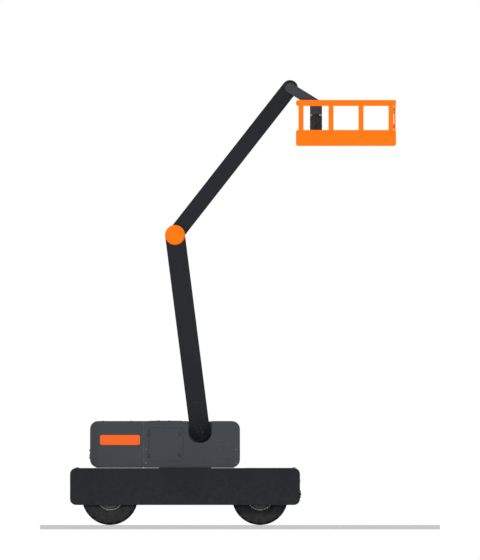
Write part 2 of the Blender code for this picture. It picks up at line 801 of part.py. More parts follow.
def hood(side, name, turntable):
    """A hollow side cover with a door opening, cut down over the boom's foot."""
    r = TURN_CORNER
    y0, y1 = sorted((side * BAY_HALF, side * TURN_HALF))
    outer = prism(rectangle(HOOD_REAR_X, TURN_FRONT_X, TURN_BOTTOM, TURN_TOP, 0, r, r, 0), "Y", y0, y1)
    cover = cut(outer, saddle(0, TURN_HALF + OVER))
    inside = prism(
        rectangle(
            HOOD_REAR_X + HOOD_WALL,
            TURN_FRONT_X - HOOD_WALL,
            TURN_BOTTOM - OVER,
            TURN_TOP - HOOD_WALL,
            0,
            0,
            r - HOOD_WALL,
            0,
        ),
        "Y",
        y0 + HOOD_WALL,
        y1 - HOOD_WALL,
    )
    inside = cut(inside, saddle(HOOD_WALL, TURN_HALF + OVER))
    deck_room = box(
        HOOD_REAR_X - OVER,
        TURN_FRONT_X - TURN_CORNER - DECK_SETBACK + SEAT,
        -TURN_HALF + HOOD_WALL,
        TURN_HALF - HOOD_WALL,
        TURN_BOTTOM - OVER,
        DECK_TOP + SEAT,
    )
    x0, x1, z0, z1 = door_place(side)
    w0, w1 = sorted((side * (TURN_HALF - HOOD_WALL - OVER), side * (TURN_HALF + OVER)))
    corner = DOOR_CORNER + DOOR_EDGE
    way = prism(
        rectangle(
            x0 - DOOR_EDGE, x1 + DOOR_EDGE, z0 - DOOR_EDGE, z1 + DOOR_EDGE, corner, corner, corner, corner
        ),
        "Y",
        w0,
        w1,
    )
    cover = cut(cover, inside, deck_room, way)
    lugs = []
    hinge_x, hinge_y = x0 - DOOR_EDGE, side * (TURN_HALF + HINGE_STAND)
    wall_y = side * (TURN_HALF - HOOD_WALL / 2)
    wall = ((hinge_x - HINGE_RADIUS * 4, wall_y), (hinge_x - HINGE_RADIUS, wall_y))
    for z in door_hinges(side):
        lugs += hinge_lugs(hinge_x, hinge_y, z, wall)
    piece(fuse(cover, *lugs), "hood_" + name, "grey_paint", turntable)


def hood_door(side, name, turntable):
    """The outward-opening panel in a hood, on two upright hinges at its rear edge."""
    x0, x1, z0, z1 = door_place(side)
    hinge_x, hinge_y = x0 - DOOR_EDGE, side * (TURN_HALF + HINGE_STAND)
    carrier = body("door_" + name, (hinge_x, hinge_y, z0), turntable)
    y0, y1 = sorted((side * (TURN_HALF - HOOD_WALL), side * TURN_HALF))
    r = DOOR_CORNER
    panel = prism(rectangle(x0, x1, z0, z1, r, r, r, r), "Y", y0, y1)
    wall_y = side * (TURN_HALF - HOOD_WALL / 2)
    wall = ((x0 + HINGE_RADIUS, wall_y), (x0 + HINGE_RADIUS * 4, wall_y))
    leaves = [hinge_eye(hinge_x, hinge_y, z, z + HINGE_LENGTH, wall) for z in door_hinges(side)]
    grip = prism(
        rectangle(
            x1 - DOOR_CORNER * 2,
            x1 - DOOR_CORNER,
            (z0 + z1) / 2 - DOOR_CORNER,
            (z0 + z1) / 2 + DOOR_CORNER,
        ),
        "Y",
        *sorted((side * (TURN_HALF - BITE), side * (TURN_HALF + HINGE_RADIUS))),
    )
    piece(fuse(panel, *leaves, grip), "door_" + name, "grey_paint", carrier)


def pedestal(turntable):
    """Two upright plates that hold the boom's foot and the lift cylinder's base."""
    low = DECK_TOP + SEAT
    top = TURN_TOP - PEDESTAL_TOP_GAP
    back, front = FOOT.x - PEDESTAL_BACK, FOOT.x + PEDESTAL_FRONT
    inner = PEDESTAL_HALF - PEDESTAL_PLATE
    r = PEDESTAL_CORNER
    plates = []
    for side in (-1, 1):
        y0, y1 = sorted((side * inner, side * PEDESTAL_HALF))
        plates.append(prism(rectangle(back, front, low, top, 0, 0, r * 2, r), "Y", y0, y1))
    ribs = [
        box(x, x + RIB_THICK, -inner - BITE, inner + BITE, low, low + RIB_HEIGHT)
        for x in (back + RIB_THICK, front - RIB_THICK * 2)
    ]
    base_pin = pin(LIFT_BASE.x, LIFT_BASE.z, PEDESTAL_HALF - BITE, LIFT_PIN_RADIUS)
    bore = pin(FOOT.x, FOOT.z, PEDESTAL_HALF + OVER, bored(MAIN_PIN_RADIUS))
    frame = fuse(plates[0], *ribs, plates[1], base_pin)
    piece(cut(frame, bore), "pedestal", "grey_paint", turntable)


def engine(turntable):
    """The engine's mass, as one plain block under the far hood."""
    x0 = HOOD_REAR_X + ENGINE_AHEAD
    y0 = (BAY_HALF + TURN_HALF - ENGINE_WIDTH) / 2
    block = box(x0, x0 + ENGINE_LENGTH, y0, y0 + ENGINE_WIDTH, DECK_TOP + SEAT, DECK_TOP + ENGINE_HEIGHT)
    piece(block, "engine_block", "cast_iron", turntable)


# Booms


def lower_boom(carrier):
    """A box beam, forked at the foot round the pedestal and at the head round the upper boom."""
    length, half, width = LOWER_LENGTH, LOWER_HALF_DEPTH, LOWER_HALF_WIDTH
    inner = width - CHEEK
    beam = prism(bar(length, half), "Y", -width, width)
    pads = [
        rod((0, side * (width - BITE), 0), (0, side * (width + PIVOT_PAD), 0), PIVOT_PAD_RADIUS, 2 * ROUND)
        for side in (-1, 1)
    ]
    beam = fuse(beam, *pads)
    channel = half - BOOM_PLATE
    foot_gap = box(-half - OVER, FOOT_FORK, -inner, inner, -half - OVER, half + OVER)
    tunnel = box(FOOT_FORK - OVER, length - HEAD_FORK + OVER, -inner, inner, -channel, channel)
    head_gap = box(length - HEAD_FORK, length + half + OVER, -inner, inner, -half - OVER, channel)
    head_back = box(length - HEAD_OPEN, length + half + OVER, -inner, inner, 0, half + OVER)
    bores = [pin(x, 0, width + OVER, bored(MAIN_PIN_RADIUS)) for x in (0, length)]
    beam = cut(beam, foot_gap, tunnel, head_gap, head_back, *bores)
    piece(beam, "lower_boom", "dark_paint", carrier, LOWER_ANGLE)


def foot_crank(carrier):
    """The foot shaft, keyed to the boom's cheeks, with the lift crank's two plates between the pedestal plates."""
    shaft = pin(FOOT.x, FOOT.z, LOWER_HALF_WIDTH, MAIN_PIN_RADIUS)
    outer = CRANK_INNER + CRANK_PLATE
    hub = pin(0, 0, outer, MAIN_PIN_RADIUS + CHEEK)
    plates = [
        prism(bar(CRANK_RADIUS, CRANK_EYE), "Y", *sorted((side * CRANK_INNER, side * outer))) for side in (-1, 1)
    ]
    eye = pin(CRANK_RADIUS, 0, outer + OVER, LIFT_PIN_RADIUS)
    arm = moved(cut(fuse(hub, *plates), eye), FOOT, -math.radians(CRANK_ANGLE))
    piece(fuse(shaft, arm), "foot_crank", "machined_steel", carrier)


def lift_barrel(carrier):
    """The cylinder's tube, from its base eye towards the crank."""
    start = bored(LIFT_PIN_RADIUS)
    tube = rod((BARREL_EYE / 2, 0, 0), (BARREL_LENGTH, 0, 0), BARREL_RADIUS)
    eye = pin(0, 0, BARREL_RADIUS, BARREL_EYE)
    gland = rod((BARREL_LENGTH - BARREL_EYE, 0, 0), (BARREL_LENGTH, 0, 0), BARREL_RADIUS + BARREL_WALL)
    bore = rod((BARREL_EYE + BARREL_WALL, 0, 0), (BARREL_LENGTH + OVER, 0, 0), bored(BARREL_BORE), PIN_SIDES)
    hole = pin(0, 0, BARREL_RADIUS + OVER, start)
    piece(cut(fuse(tube, eye, gland), bore, hole), "lift_barrel", "dark_paint", carrier, LIFT_ANGLE)


def lift_rod(carrier):
    """The cylinder's rod, whose eye stands between the crank's plates."""
    reach = LIFT_RUN.length
    shaft = rod((BARREL_LENGTH - ROD_INSIDE, 0, 0), (reach, 0, 0), BARREL_BORE, PIN_SIDES)
    eye = pin(reach, 0, BARREL_BORE, ROD_EYE)
    hole = pin(reach, 0, BARREL_BORE + OVER, LIFT_PIN_RADIUS)
    piece(moved(cut(fuse(shaft, eye), hole), LIFT_BASE, -LIFT_ANGLE), "lift_rod", "machined_steel", carrier)


def elbow_hub(carrier):
    """The knuckle: a pin through both booms with its drive drum, and a round cap on each side."""
    width = LOWER_HALF_WIDTH
    hub = fuse(
        pin(ELBOW.x, ELBOW.z, width + RUN, MAIN_PIN_RADIUS),
        pin(ELBOW.x, ELBOW.z, ROOT_GAP_HALF - PLAY, HUB_DRUM_RADIUS, 2 * ROUND),
    )
    piece(hub, "elbow_hub", "machined_steel", carrier)
    for side, name in ((-1, "near"), (1, "far")):
        start = side * (width + RUN + SEAT)
        end = start + side * ELBOW_CAP_THICK
        middle = (start + end) / 2
        face = ELBOW_CAP_RADIUS * ELBOW_CAP_FACE_SHARE
        disc = rod((ELBOW.x, start, ELBOW.z), (ELBOW.x, middle, ELBOW.z), ELBOW_CAP_RADIUS, 2 * ROUND)
        crown = rod(
            (ELBOW.x, middle - side * BITE / 2, ELBOW.z),
            (ELBOW.x, end, ELBOW.z),
            ELBOW_CAP_RADIUS,
            2 * ROUND,
            face,
        )
        piece(fuse(disc, crown), "elbow_cap_" + name, "orange_paint", carrier)


def upper_boom(carrier):
    """A box beam, slotted at each end round its drive drum."""
    length, half, width = UPPER_LENGTH, UPPER_HALF_DEPTH, UPPER_HALF_WIDTH
    beam = prism(bar(length, half), "Y", -width, width)
    inner = width - BOOM_PLATE
    depth = half - BOOM_PLATE
    tunnel = box(ROOT_FORK + OVER, length - TIP_FORK - OVER, -inner, inner, -depth, depth)
    reach = half + OVER
    root_gap = box(-reach, ROOT_FORK, -ROOT_GAP_HALF, ROOT_GAP_HALF, -reach, reach)
    tip_gap = box(length - TIP_FORK, length + reach, -ROOT_GAP_HALF, ROOT_GAP_HALF, -reach, reach)
    way = box(ROOT_FORK - OVER, length - TIP_FORK + OVER, -ROOT_GAP_HALF, ROOT_GAP_HALF, -depth / 2, depth / 2)
    root_bore = pin(0, 0, width + OVER, bored(MAIN_PIN_RADIUS))
    tip_bore = pin(length, 0, width + OVER, bored(TIP_PIN_RADIUS))
    beam = cut(beam, tunnel, root_gap, tip_gap, way, root_bore, tip_bore)
    piece(beam, "upper_boom", "dark_paint", carrier, UPPER_ANGLE)


def tip_hub(carrier):
    """The pin at the boom's tip, with the jib's drive drum."""
    reach = JIB_ARM_INNER + JIB_ARM
    hub = fuse(
        pin(TIP.x, TIP.z, reach, TIP_PIN_RADIUS),
        pin(TIP.x, TIP.z, ROOT_GAP_HALF - PLAY, TIP_DRUM_RADIUS, 2 * ROUND),
    )
    piece(hub, "tip_hub", "machined_steel", carrier)


def jib(carrier):
    """Two arms outside the boom's tip and the platform head, tied by a tube."""
    inner, outer = JIB_ARM_INNER, JIB_ARM_INNER + JIB_ARM
    arms = [
        prism(bar(JIB_LENGTH, JIB_HALF_DEPTH), "Y", *sorted((side * inner, side * outer))) for side in (-1, 1)
    ]
    tube = pin(JIB_TUBE_AT, 0, inner + BITE, JIB_TUBE_RADIUS)
    frame = fuse(tube, *arms)
    bores = [
        pin(0, 0, outer + OVER, bored(TIP_PIN_RADIUS)),
        pin(JIB_LENGTH, 0, outer + OVER, bored(LEVEL_PIN_RADIUS)),
    ]
    piece(cut(frame, *bores), "jib", "grey_paint", carrier, JIB_ANGLE)


def level_pin(carrier):
    pivot = pin(POST.x, POST.z, JIB_ARM_INNER + JIB_ARM, LEVEL_PIN_RADIUS)
    collars = [
        rod(
            (POST.x, side * (POST_HALF_Y + PLAY), POST.z),
            (POST.x, side * (JIB_ARM_INNER - SEAT), POST.z),
            LEVEL_PIN_RADIUS + BOOM_PLATE,
        )
        for side in (-1, 1)
    ]
    piece(fuse(pivot, *collars), "level_pin", "machined_steel", carrier)


# Platform


def platform_head(carrier):
    """The levelled block at the jib's end, bored below for the rotating post."""
    x, z = POST.x, POST.z
    top = arc(x, z, HEAD_TOP_RADIUS, 0, 180, 2 * ARC)
    outline = [
        (x - POST_HALF_X, z - HEAD_SHOULDER),
        (x - POST_HALF_X, z - HEAD_DROP),
        (x + POST_HALF_X, z - HEAD_DROP),
        (x + POST_HALF_X, z - HEAD_SHOULDER),
    ]
    block = prism(outline + top, "Y", -POST_HALF_Y, POST_HALF_Y)
    pivot = pin(x, z, POST_HALF_Y + OVER, bored(LEVEL_PIN_RADIUS))
    mouth = z - HEAD_DROP
    socket = rod(
        (x, 0, mouth - OVER), (x, 0, mouth + SPIGOT_RISE + PLAY), bored(SPIGOT_RADIUS), PIN_SIDES
    )
    piece(cut(block, pivot, socket), "platform_head", "grey_paint", carrier)


def platform_post(carrier):
    """The rotating post, with two arms under the floor and a bracket against the tray."""
    x = POST.x
    top, low = POST.z - HEAD_DROP - PLAY, PLATFORM_LOW.z + BITE
    post = box(x - POST_HALF_X, x + POST_HALF_X, -POST_HALF_Y, POST_HALF_Y, low, top)
    spigot = rod((x, 0, top - BITE), (x, 0, top + PLAY + SPIGOT_RISE), SPIGOT_RADIUS, PIN_SIDES)
    arms = []
    for side in (-1, 1):
        x0, x1 = sorted((x + side * ARM_INNER, x + side * ARM_OUTER))
        arms.append(box(x0, x1, -POST_HALF_Y - ARM_REACH, -POST_HALF_Y + BITE, low, low + ARM_HEIGHT))
    bracket = box(
        x - POST_HALF_X,
        x + POST_HALF_X,
        -PLATFORM_NEAR_GAP + SEAT,
        -POST_HALF_Y + BITE,
        low,
        low + BRACKET_HEIGHT,
    )
    piece(fuse(post, spigot, *arms, bracket), "platform_post", "grey_paint", carrier)


def platform_tray(carrier):
    """The floor in its high kick band, open above and below, with the arms' slots and the gateway."""
    low, high = PLATFORM_LOW, PLATFORM_HIGH
    r, wall = TRAY_CORNER, TRAY_WALL
    tray = prism(rectangle(low.x, high.x, low.z, TRAY_TOP, r, r, r, r), "Y", low.y, high.y)
    inner = (low.x + wall, high.x - wall, low.y + wall, high.y - wall)
    above = box(*inner, FLOOR_TOP, TRAY_TOP + OVER)
    below = box(*inner, low.z - OVER, FLOOR_TOP - FLOOR_PLATE)
    slot = box(
        POST.x - ARM_OUTER - PLAY,
        POST.x + ARM_OUTER + PLAY,
        high.y - wall - OVER,
        high.y + OVER,
        low.z - OVER,
        low.z + BITE + ARM_HEIGHT + BITE,
    )
    gateway = box(
        high.x - wall - OVER,
        high.x + OVER,
        low.y + RAIL_THICK,
        high.y - RAIL_THICK,
        FLOOR_TOP,
        TRAY_TOP + OVER,
    )
    piece(cut(tray, above, below, slot, gateway), "platform_tray", "orange_paint", carrier)


def gate_hinges():
    """Heights of the gate's two hinges."""
    base = TRAY_TOP + GATE_STILE
    return (base, PLATFORM_HIGH.z - RAIL_HEIGHT - GATE_STILE - HINGE_LENGTH)


def guard_rail(carrier):
    """The deep top rail round three sides and its posts on the tray's long sides."""
    low, high = PLATFORM_LOW, PLATFORM_HIGH
    base = high.z - RAIL_HEIGHT
    r = RAIL_CORNER
    ring = prism(rectangle(low.x, high.x, base, high.z, r, r, r, r), "Y", low.y, high.y)
    middle = box(
        low.x + RAIL_THICK, high.x + OVER, low.y + RAIL_THICK, high.y - RAIL_THICK, base - OVER, high.z + OVER
    )
    ring = cut(ring, middle)
    posts = []
    for n in range(RAIL_POSTS):
        x = low.x + RAIL_POST_FIRST + n * RAIL_POST_PITCH
        for y0 in (low.y, high.y - TRAY_WALL):
            posts.append(
                box(
                    x - RAIL_POST_WIDTH / 2,
                    x + RAIL_POST_WIDTH / 2,
                    y0,
                    y0 + TRAY_WALL,
                    TRAY_TOP + SEAT,
                    base + BITE,
                )
            )
    x, y = gate_axis()
    last = low.x + RAIL_POST_FIRST + (RAIL_POSTS - 1) * RAIL_POST_PITCH + RAIL_POST_WIDTH / 2
    wall_y = high.y - TRAY_WALL + BITE
    wall = ((last - RAIL_POST_WIDTH / 2, wall_y), (last - BITE, wall_y))
    lugs = []
    for z in gate_hinges():
        lugs += hinge_lugs(x, y, z, wall)
    piece(fuse(ring, *posts, *lugs), "guard_rail", "orange_paint", carrier)


def gate_axis():
    """Where the gate's upright hinge axis stands."""
    return PLATFORM_HIGH.x - RAIL_THICK, PLATFORM_HIGH.y - RAIL_THICK - GATE_HINGE_INSET


def platform_gate(platform):
    """The end gate: two stiles, top rail, middle bar and kick panel, opening inwards."""
    low, high = PLATFORM_LOW, PLATFORM_HIGH
    x, y = gate_axis()
    carrier = body("gate", (x, y, FLOOR_TOP), platform)
    y0, y1 = low.y + RAIL_THICK + PLAY, y - HINGE_STAND
    sill = FLOOR_TOP + GATE_SILL
    base = high.z - RAIL_HEIGHT
    x0, x1 = x + HINGE_CLEAR, x + HINGE_CLEAR + GATE_BAR
    top = box(x0, high.x - BITE, y0, y1, base, high.z)
    kick = box(x0, x1, y0, y1, sill, TRAY_TOP)
    stiles = [box(x0, x1, a, a + GATE_STILE, TRAY_TOP - BITE, base + BITE) for a in (y0, y1 - GATE_STILE)]
    middle = (TRAY_TOP + base) / 2
    mid_bar = box(
        x0 + BITE, x1 - BITE, y0 + BITE, y1 - BITE, middle - GATE_BAR / 2, middle + GATE_BAR / 2
    )
    wall = ((x0 + BITE, y1 - BITE), (x1 - BITE, y1 - BITE))
    leaves = [hinge_eye(x, y, z, z + HINGE_LENGTH, wall) for z in gate_hinges()]
    piece(fuse(top, kick, *stiles, mid_bar, *leaves), "platform_gate", "orange_paint", carrier)


def console(carrier):
    """The operator's control box, hung inside the rail right in front of the post."""
    y0 = PLATFORM_HIGH.y - RAIL_THICK - SEAT
    z1 = PLATFORM_HIGH.z - RAIL_HEIGHT / 2
    z0 = z1 - CONSOLE_HEIGHT
    outline = [
        (y0 - CONSOLE_DEPTH, z0),
        (y0, z0),
        (y0, z1),
        (y0 - CONSOLE_DEPTH, z1 - CONSOLE_SLOPE),
    ]
    block = prism(outline, "X", POST.x - CONSOLE_WIDTH / 2, POST.x + CONSOLE_WIDTH / 2)
    piece(block, "control_console", "grey_paint", carrier)


def build():
    clear_scene()
    chassis = body("chassis", (0, 0, 0))
    chassis_shell(chassis)
    chassis_frame(chassis)
    slew_ring(chassis)
    rear_axle(chassis)
    front_axle(chassis)

    turntable = body("turntable", SLEW, chassis)
    turntable_deck(turntable)
    counterweight(turntable)
    pedestal(turntable)
    engine(turntable)
    for side, name in ((-1, "near"), (1, "far")):
        hood(side, name, turntable)
        hood_door(side, name, turntable)
        piece(marker_solid(side, 0), "side_marker_" + name, "marker_lens", turntable)

    lower = body("lower_boom_body", FOOT, turntable)
    lower_boom(lower)
    foot_crank(lower)
    barrel = body("lift_barrel_body", LIFT_BASE, turntable)
    lift_barrel(barrel)
    lift_rod(body("lift_rod_body", LIFT_BASE, barrel))

    knuckle_body = body("knuckle", ELBOW, lower)
    elbow_hub(knuckle_body)
    upper = body("upper_boom_body", ELBOW, knuckle_body)
    upper_boom(upper)
    tip = body("tip_link", TIP, upper)
    tip_hub(tip)
    jib_body = body("jib_body", TIP, tip)
    jib(jib_body)
    level_pin(jib_body)
    head = body("head", POST, jib_body)
    platform_head(head)
    platform = body("platform", POST, head)
    platform_post(platform)
    platform_tray(platform)
    guard_rail(platform)
    console(platform)
    platform_gate(platform)


build()
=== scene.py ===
"""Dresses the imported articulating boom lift: tyres, fittings, hoses, finishes, stage and camera."""

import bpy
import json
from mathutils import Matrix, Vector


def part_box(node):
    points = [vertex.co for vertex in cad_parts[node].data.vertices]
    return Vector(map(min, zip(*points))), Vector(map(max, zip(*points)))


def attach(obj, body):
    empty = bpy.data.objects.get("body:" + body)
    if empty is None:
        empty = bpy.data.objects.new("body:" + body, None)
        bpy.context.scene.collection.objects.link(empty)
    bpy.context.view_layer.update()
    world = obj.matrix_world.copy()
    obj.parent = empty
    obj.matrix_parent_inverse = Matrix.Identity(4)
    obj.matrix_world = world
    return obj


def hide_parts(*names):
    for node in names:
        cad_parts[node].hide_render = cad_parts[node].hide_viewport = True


bl_info = {
    "name": "Boom lift dressing",
    "version": (1, 0, 0),
    "blender": (4, 5, 0),
    "location": "3D View > Sidebar > Boom lift",
    "description": "Builds the visible details and finishes of a boom lift round its packed frame",
    "category": "Object",
}

import json
import math

import bmesh
import bpy
from mathutils import Matrix, Vector

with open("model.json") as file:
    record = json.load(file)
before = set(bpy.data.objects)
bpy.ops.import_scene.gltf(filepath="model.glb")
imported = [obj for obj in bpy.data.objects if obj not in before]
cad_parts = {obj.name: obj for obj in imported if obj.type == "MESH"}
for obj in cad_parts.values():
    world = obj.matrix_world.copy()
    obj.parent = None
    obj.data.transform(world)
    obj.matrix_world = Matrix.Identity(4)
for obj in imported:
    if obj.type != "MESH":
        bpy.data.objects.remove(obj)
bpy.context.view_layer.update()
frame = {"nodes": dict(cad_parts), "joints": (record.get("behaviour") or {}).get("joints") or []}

WHEELS = ("rear_near", "rear_far", "front_near", "front_far")
SIDES = ((-1, "near"), (1, "far"))

# Building rules that the pieces share
SHARP = math.radians(32)
BEVEL_ANGLE = math.radians(40)
MERGE_DISTANCE = 0.0001
SINK = 0.001  # how far a fitting reaches into what it sits on
NUT_EDGE = 0.0008
FINE_EDGE = 0.001
PART_EDGE = 0.002
SOFT_EDGE = 0.003

# Places that the pieces share, most of them read from the frame
JOINTS = {joint["name"]: joint for joint in frame["joints"]}


def pivot(name):
    """A joint's place."""
    return Vector(JOINTS[name]["pos_m"])


def middle(name):
    """The middle of a solid's box."""
    low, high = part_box(name)
    return (low + high) / 2


def tilt(start, end):
    """Rest angle above +X from one pivot to another, in degrees."""
    return math.degrees(math.atan2(end.z - start.z, end.x - start.x))


FOOT = pivot("lower_boom_lift")
ELBOW = pivot("upper_boom_lift")
TIP = pivot("jib_lift")
POST = pivot("platform_level")
LOWER_ANGLE, UPPER_ANGLE, JIB_ANGLE = tilt(FOOT, ELBOW), tilt(ELBOW, TIP), tilt(TIP, POST)
LOWER_LENGTH = (ELBOW - FOOT).length
UPPER_LENGTH = (TIP - ELBOW).length
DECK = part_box("turntable_deck")[1].z
TURN_HALF = 1.15  # half the width over the turntable's covers


def srgb(red, green, blue):
    """Linear colour from the usual 0 to 255 numbers."""
    parts = []
    for number in (red, green, blue):
        share = number / 255
        parts.append(share / 12.92 if share <= 0.04045 else ((share + 0.055) / 1.055) ** 2.4)
    return tuple(parts)


def colour_setting(name, description, *channels):
    """A colour property, its default in 0 to 255 numbers."""
    default = srgb(*channels)
    return bpy.props.FloatVectorProperty(name=name, description=description, subtype="COLOR", default=default)


def length_setting(name, description, default):
    """A length property in metres."""
    return bpy.props.FloatProperty(name=name, description=description, default=default, unit="LENGTH")


class LiftColours(bpy.types.PropertyGroup):
    """Colours of the lift's finishes."""

    dark: colour_setting("Charcoal", "Chassis, booms and tyres", 29, 32, 37)
    grey: colour_setting("Slate", "Turntable covers, jib and post", 59, 63, 68)
    orange: colour_setting("Orange", "Platform and elbow caps", 255, 118, 0)
    marker: colour_setting("Marker", "Side marker lens", 240, 98, 22)
    steel: colour_setting("Steel", "Pins, rods and bolts", 150, 152, 156)
    dust: colour_setting("Dust", "Dry site dust", 150, 140, 124)
    ground: colour_setting("Ground", "Pale slab under the lift", 190, 191, 191)


class LiftSizes(bpy.types.PropertyGroup):
    """Sizes of the added pieces."""

    lug_depth: length_setting("Lug depth", "Height of the tyre's lugs", 0.032)
    lug_count: bpy.props.IntProperty(name="Lugs", description="Lugs in each row of a tyre", default=20)
    hose_radius: length_setting("Hose radius", "Radius of a hydraulic hose", 0.011)
    weld_radius: length_setting("Weld radius", "Radius of a weld bead", 0.005)
    edge: length_setting("Edge rounding", "Rounding of the plate edges", 0.005)
    slab: length_setting("Slab", "Thickness of the pale ground slab", 0.1)


# Shared shader effects


def group_tree(name, inputs, outputs):
    """A shader node group with named sockets, and its input and output nodes."""
    tree = bpy.data.node_groups.new(name, "ShaderNodeTree")
    for label, kind, value in inputs:
        socket = tree.interface.new_socket(label, in_out="INPUT", socket_type="NodeSocket" + kind)
        if value is not None:
            socket.default_value = value
    for label, kind in outputs:
        tree.interface.new_socket(label, in_out="OUTPUT", socket_type="NodeSocket" + kind)
    return tree, tree.nodes.new("NodeGroupInput"), tree.nodes.new("NodeGroupOutput")


def node(tree, kind, **settings):
    """A shader node with its settings."""
    made = tree.nodes.new("ShaderNode" + kind)
    for key, value in settings.items():
        setattr(made, key, value)
    return made


def feed(tree, slots, *values):
    """Links sockets to slots, or sets the slots to plain values."""
    for slot, value in zip(slots, values):
        if isinstance(value, bpy.types.NodeSocket):
            tree.links.new(value, slot)
        else:
            slot.default_value = value


def maths(tree, operation, first, second, clamp=False):
    """A Math node fed by sockets or numbers, returning its output."""
    made = node(tree, "Math", operation=operation, use_clamp=clamp)
    feed(tree, made.inputs, first, second)
    return made.outputs[0]


def blend_colour(tree, share, first, second):
    """A colour Mix node, returning its output."""
    made = node(tree, "Mix", data_type="RGBA")
    feed(tree, (made.inputs[0], made.inputs[6], made.inputs[7]), share, first, second)
    return made.outputs[2]


def ramp(tree, value, low, high):
    """A value stretched from low..high to 0..1."""
    made = node(tree, "MapRange", clamp=True)
    feed(tree, [made.inputs[label] for label in ("Value", "From Min", "From Max")], value, low, high)
    return made.outputs[0]


def noise(tree, vector, scale, detail, roughness=0.5):
    """A noise texture, returning its value."""
    made = node(tree, "TexNoise")
    slots = [made.inputs[label] for label in ("Vector", "Scale", "Detail", "Roughness")]
    feed(tree, slots, vector, scale, detail, roughness)
    return made.outputs[0]


def mottle_group():
    """Slow drift of the paint's tone, as from sun, rain and wiping."""
    tree, start, end = group_tree(
        "Mottle",
        [
            ("Vector", "Vector", None),
            ("Colour", "Color", None),
            ("Second", "Color", None),
            ("Scale", "Float", 1.5),
            ("Amount", "Float", 0.2),
        ],
        [("Colour", "Color"), ("Mask", "Float")],
    )
    given = start.outputs
    mask = ramp(tree, noise(tree, given["Vector"], given["Scale"], 6, 0.6), 0.35, 0.65)
    share = maths(tree, "MULTIPLY", mask, given["Amount"])
    feed(tree, end.inputs, blend_colour(tree, share, given["Colour"], given["Second"]), mask)
    return tree


def dust_group():
    """Dust that lies on what faces up and clings to what is near the ground."""
    tree, start, end = group_tree(
        "Settled dust",
        [
            ("Vector", "Vector", None),
            ("Colour", "Color", None),
            ("Dust", "Color", None),
            ("Amount", "Float", 0.2),
            ("Low Amount", "Float", 0.2),
            ("Height", "Float", 1.2),
        ],
        [("Colour", "Color"), ("Mask", "Float")],
    )
    given = start.outputs
    facing, place = node(tree, "SeparateXYZ"), node(tree, "SeparateXYZ")
    feed(tree, facing.inputs, node(tree, "NewGeometry").outputs["Normal"])
    feed(tree, place.inputs, given["Vector"])
    up = ramp(tree, facing.outputs[2], 0.4, 1.0)
    height = maths(tree, "DIVIDE", place.outputs[2], given["Height"])
    low = maths(tree, "SUBTRACT", 1.0, height, clamp=True)
    patch = ramp(tree, noise(tree, given["Vector"], 9, 8, 0.7), 0.38, 0.68)
    lying = maths(tree, "MULTIPLY", up, given["Amount"])
    clinging = maths(tree, "MULTIPLY", low, given["Low Amount"])
    mask = maths(tree, "MULTIPLY", maths(tree, "ADD", lying, clinging), patch, clamp=True)
    feed(tree, end.inputs, blend_colour(tree, mask, given["Colour"], given["Dust"]), mask)
    return tree


def edge_group():
    """A mask of the sharp outer edges, broken up by noise, where paint rubs thin."""
    tree, start, end = group_tree(
        "Rubbed edge",
        [("Vector", "Vector", None), ("Width", "Float", 0.012), ("Amount", "Float", 0.4)],
        [("Mask", "Float")],
    )
    given = start.outputs
    rounded = node(tree, "Bevel", samples=4)
    feed(tree, rounded.inputs, given["Width"])
    dot = node(tree, "VectorMath", operation="DOT_PRODUCT")
    feed(tree, dot.inputs, rounded.outputs[0], node(tree, "NewGeometry").outputs["Normal"])
    bend = ramp(tree, maths(tree, "SUBTRACT", 1.0, dot.outputs["Value"]), 0.02, 0.16)
    broken = ramp(tree, noise(tree, given["Vector"], 22, 5), 0.45, 0.62)
    mask = maths(tree, "MULTIPLY", maths(tree, "MULTIPLY", bend, broken), given["Amount"])
    feed(tree, end.inputs, mask)
    return tree


def grain_group():
    """Fine relief: the skin of sprayed paint, cast iron or moulded rubber."""
    tree, start, end = group_tree(
        "Fine grain",
        [
            ("Vector", "Vector", None),
            ("Scale", "Float", 300.0),
            ("Coarse", "Float", 20.0),
            ("Share", "Float", 0.2),
        ],
        [("Height", "Float")],
    )
    given = start.outputs
    fine, coarse = (noise(tree, given["Vector"], given[label], 3) for label in ("Scale", "Coarse"))
    fine = maths(tree, "MULTIPLY", fine, maths(tree, "SUBTRACT", 1.0, given["Share"]))
    coarse = maths(tree, "MULTIPLY", coarse, given["Share"])
    feed(tree, end.inputs, maths(tree, "ADD", fine, coarse))
    return tree


def streak_group():
    """Thin lines round a turned or along a drawn metal piece."""
    tree, start, end = group_tree(
        "Machined streaks",
        [("Vector", "Vector", None), ("Stretch", "Vector", (4.0, 120.0, 4.0))],
        [("Mask", "Float")],
    )
    scaled = node(tree, "VectorMath", operation="MULTIPLY")
    feed(tree, scaled.inputs, start.outputs["Vector"], start.outputs["Stretch"])
    feed(tree, end.inputs, ramp(tree, noise(tree, scaled.outputs[0], 3, 6), 0.3, 0.7))
    return tree


def placed(tree, group, **values):
    """A group placed in a material, with numbers set and sockets linked."""
    made = node(tree, "Group")
    made.node_tree = group
    feed(tree, [made.inputs[label.replace("_", " ")] for label in values], *values.values())
    return made


# Finishes

FINISHES = {}
EFFECTS = {}
SECOND_TONE = 0.78  # the darker tone's share of a paint
STREAK_SHARE = 0.35
WEAR_WIDTH = 0.010
COARSE_GRAIN = 14.0
GLOSS_DRIFT = 0.16
DUST_ROUGHNESS = 0.4
BUMP_DISTANCE = 0.002


def effects():
    """The shared node groups by their plain names, made once."""
    if not EFFECTS:
        EFFECTS["mottle"] = mottle_group()
        EFFECTS["dust"] = dust_group()
        EFFECTS["edge"] = edge_group()
        EFFECTS["grain"] = grain_group()
        EFFECTS["streak"] = streak_group()
    return EFFECTS


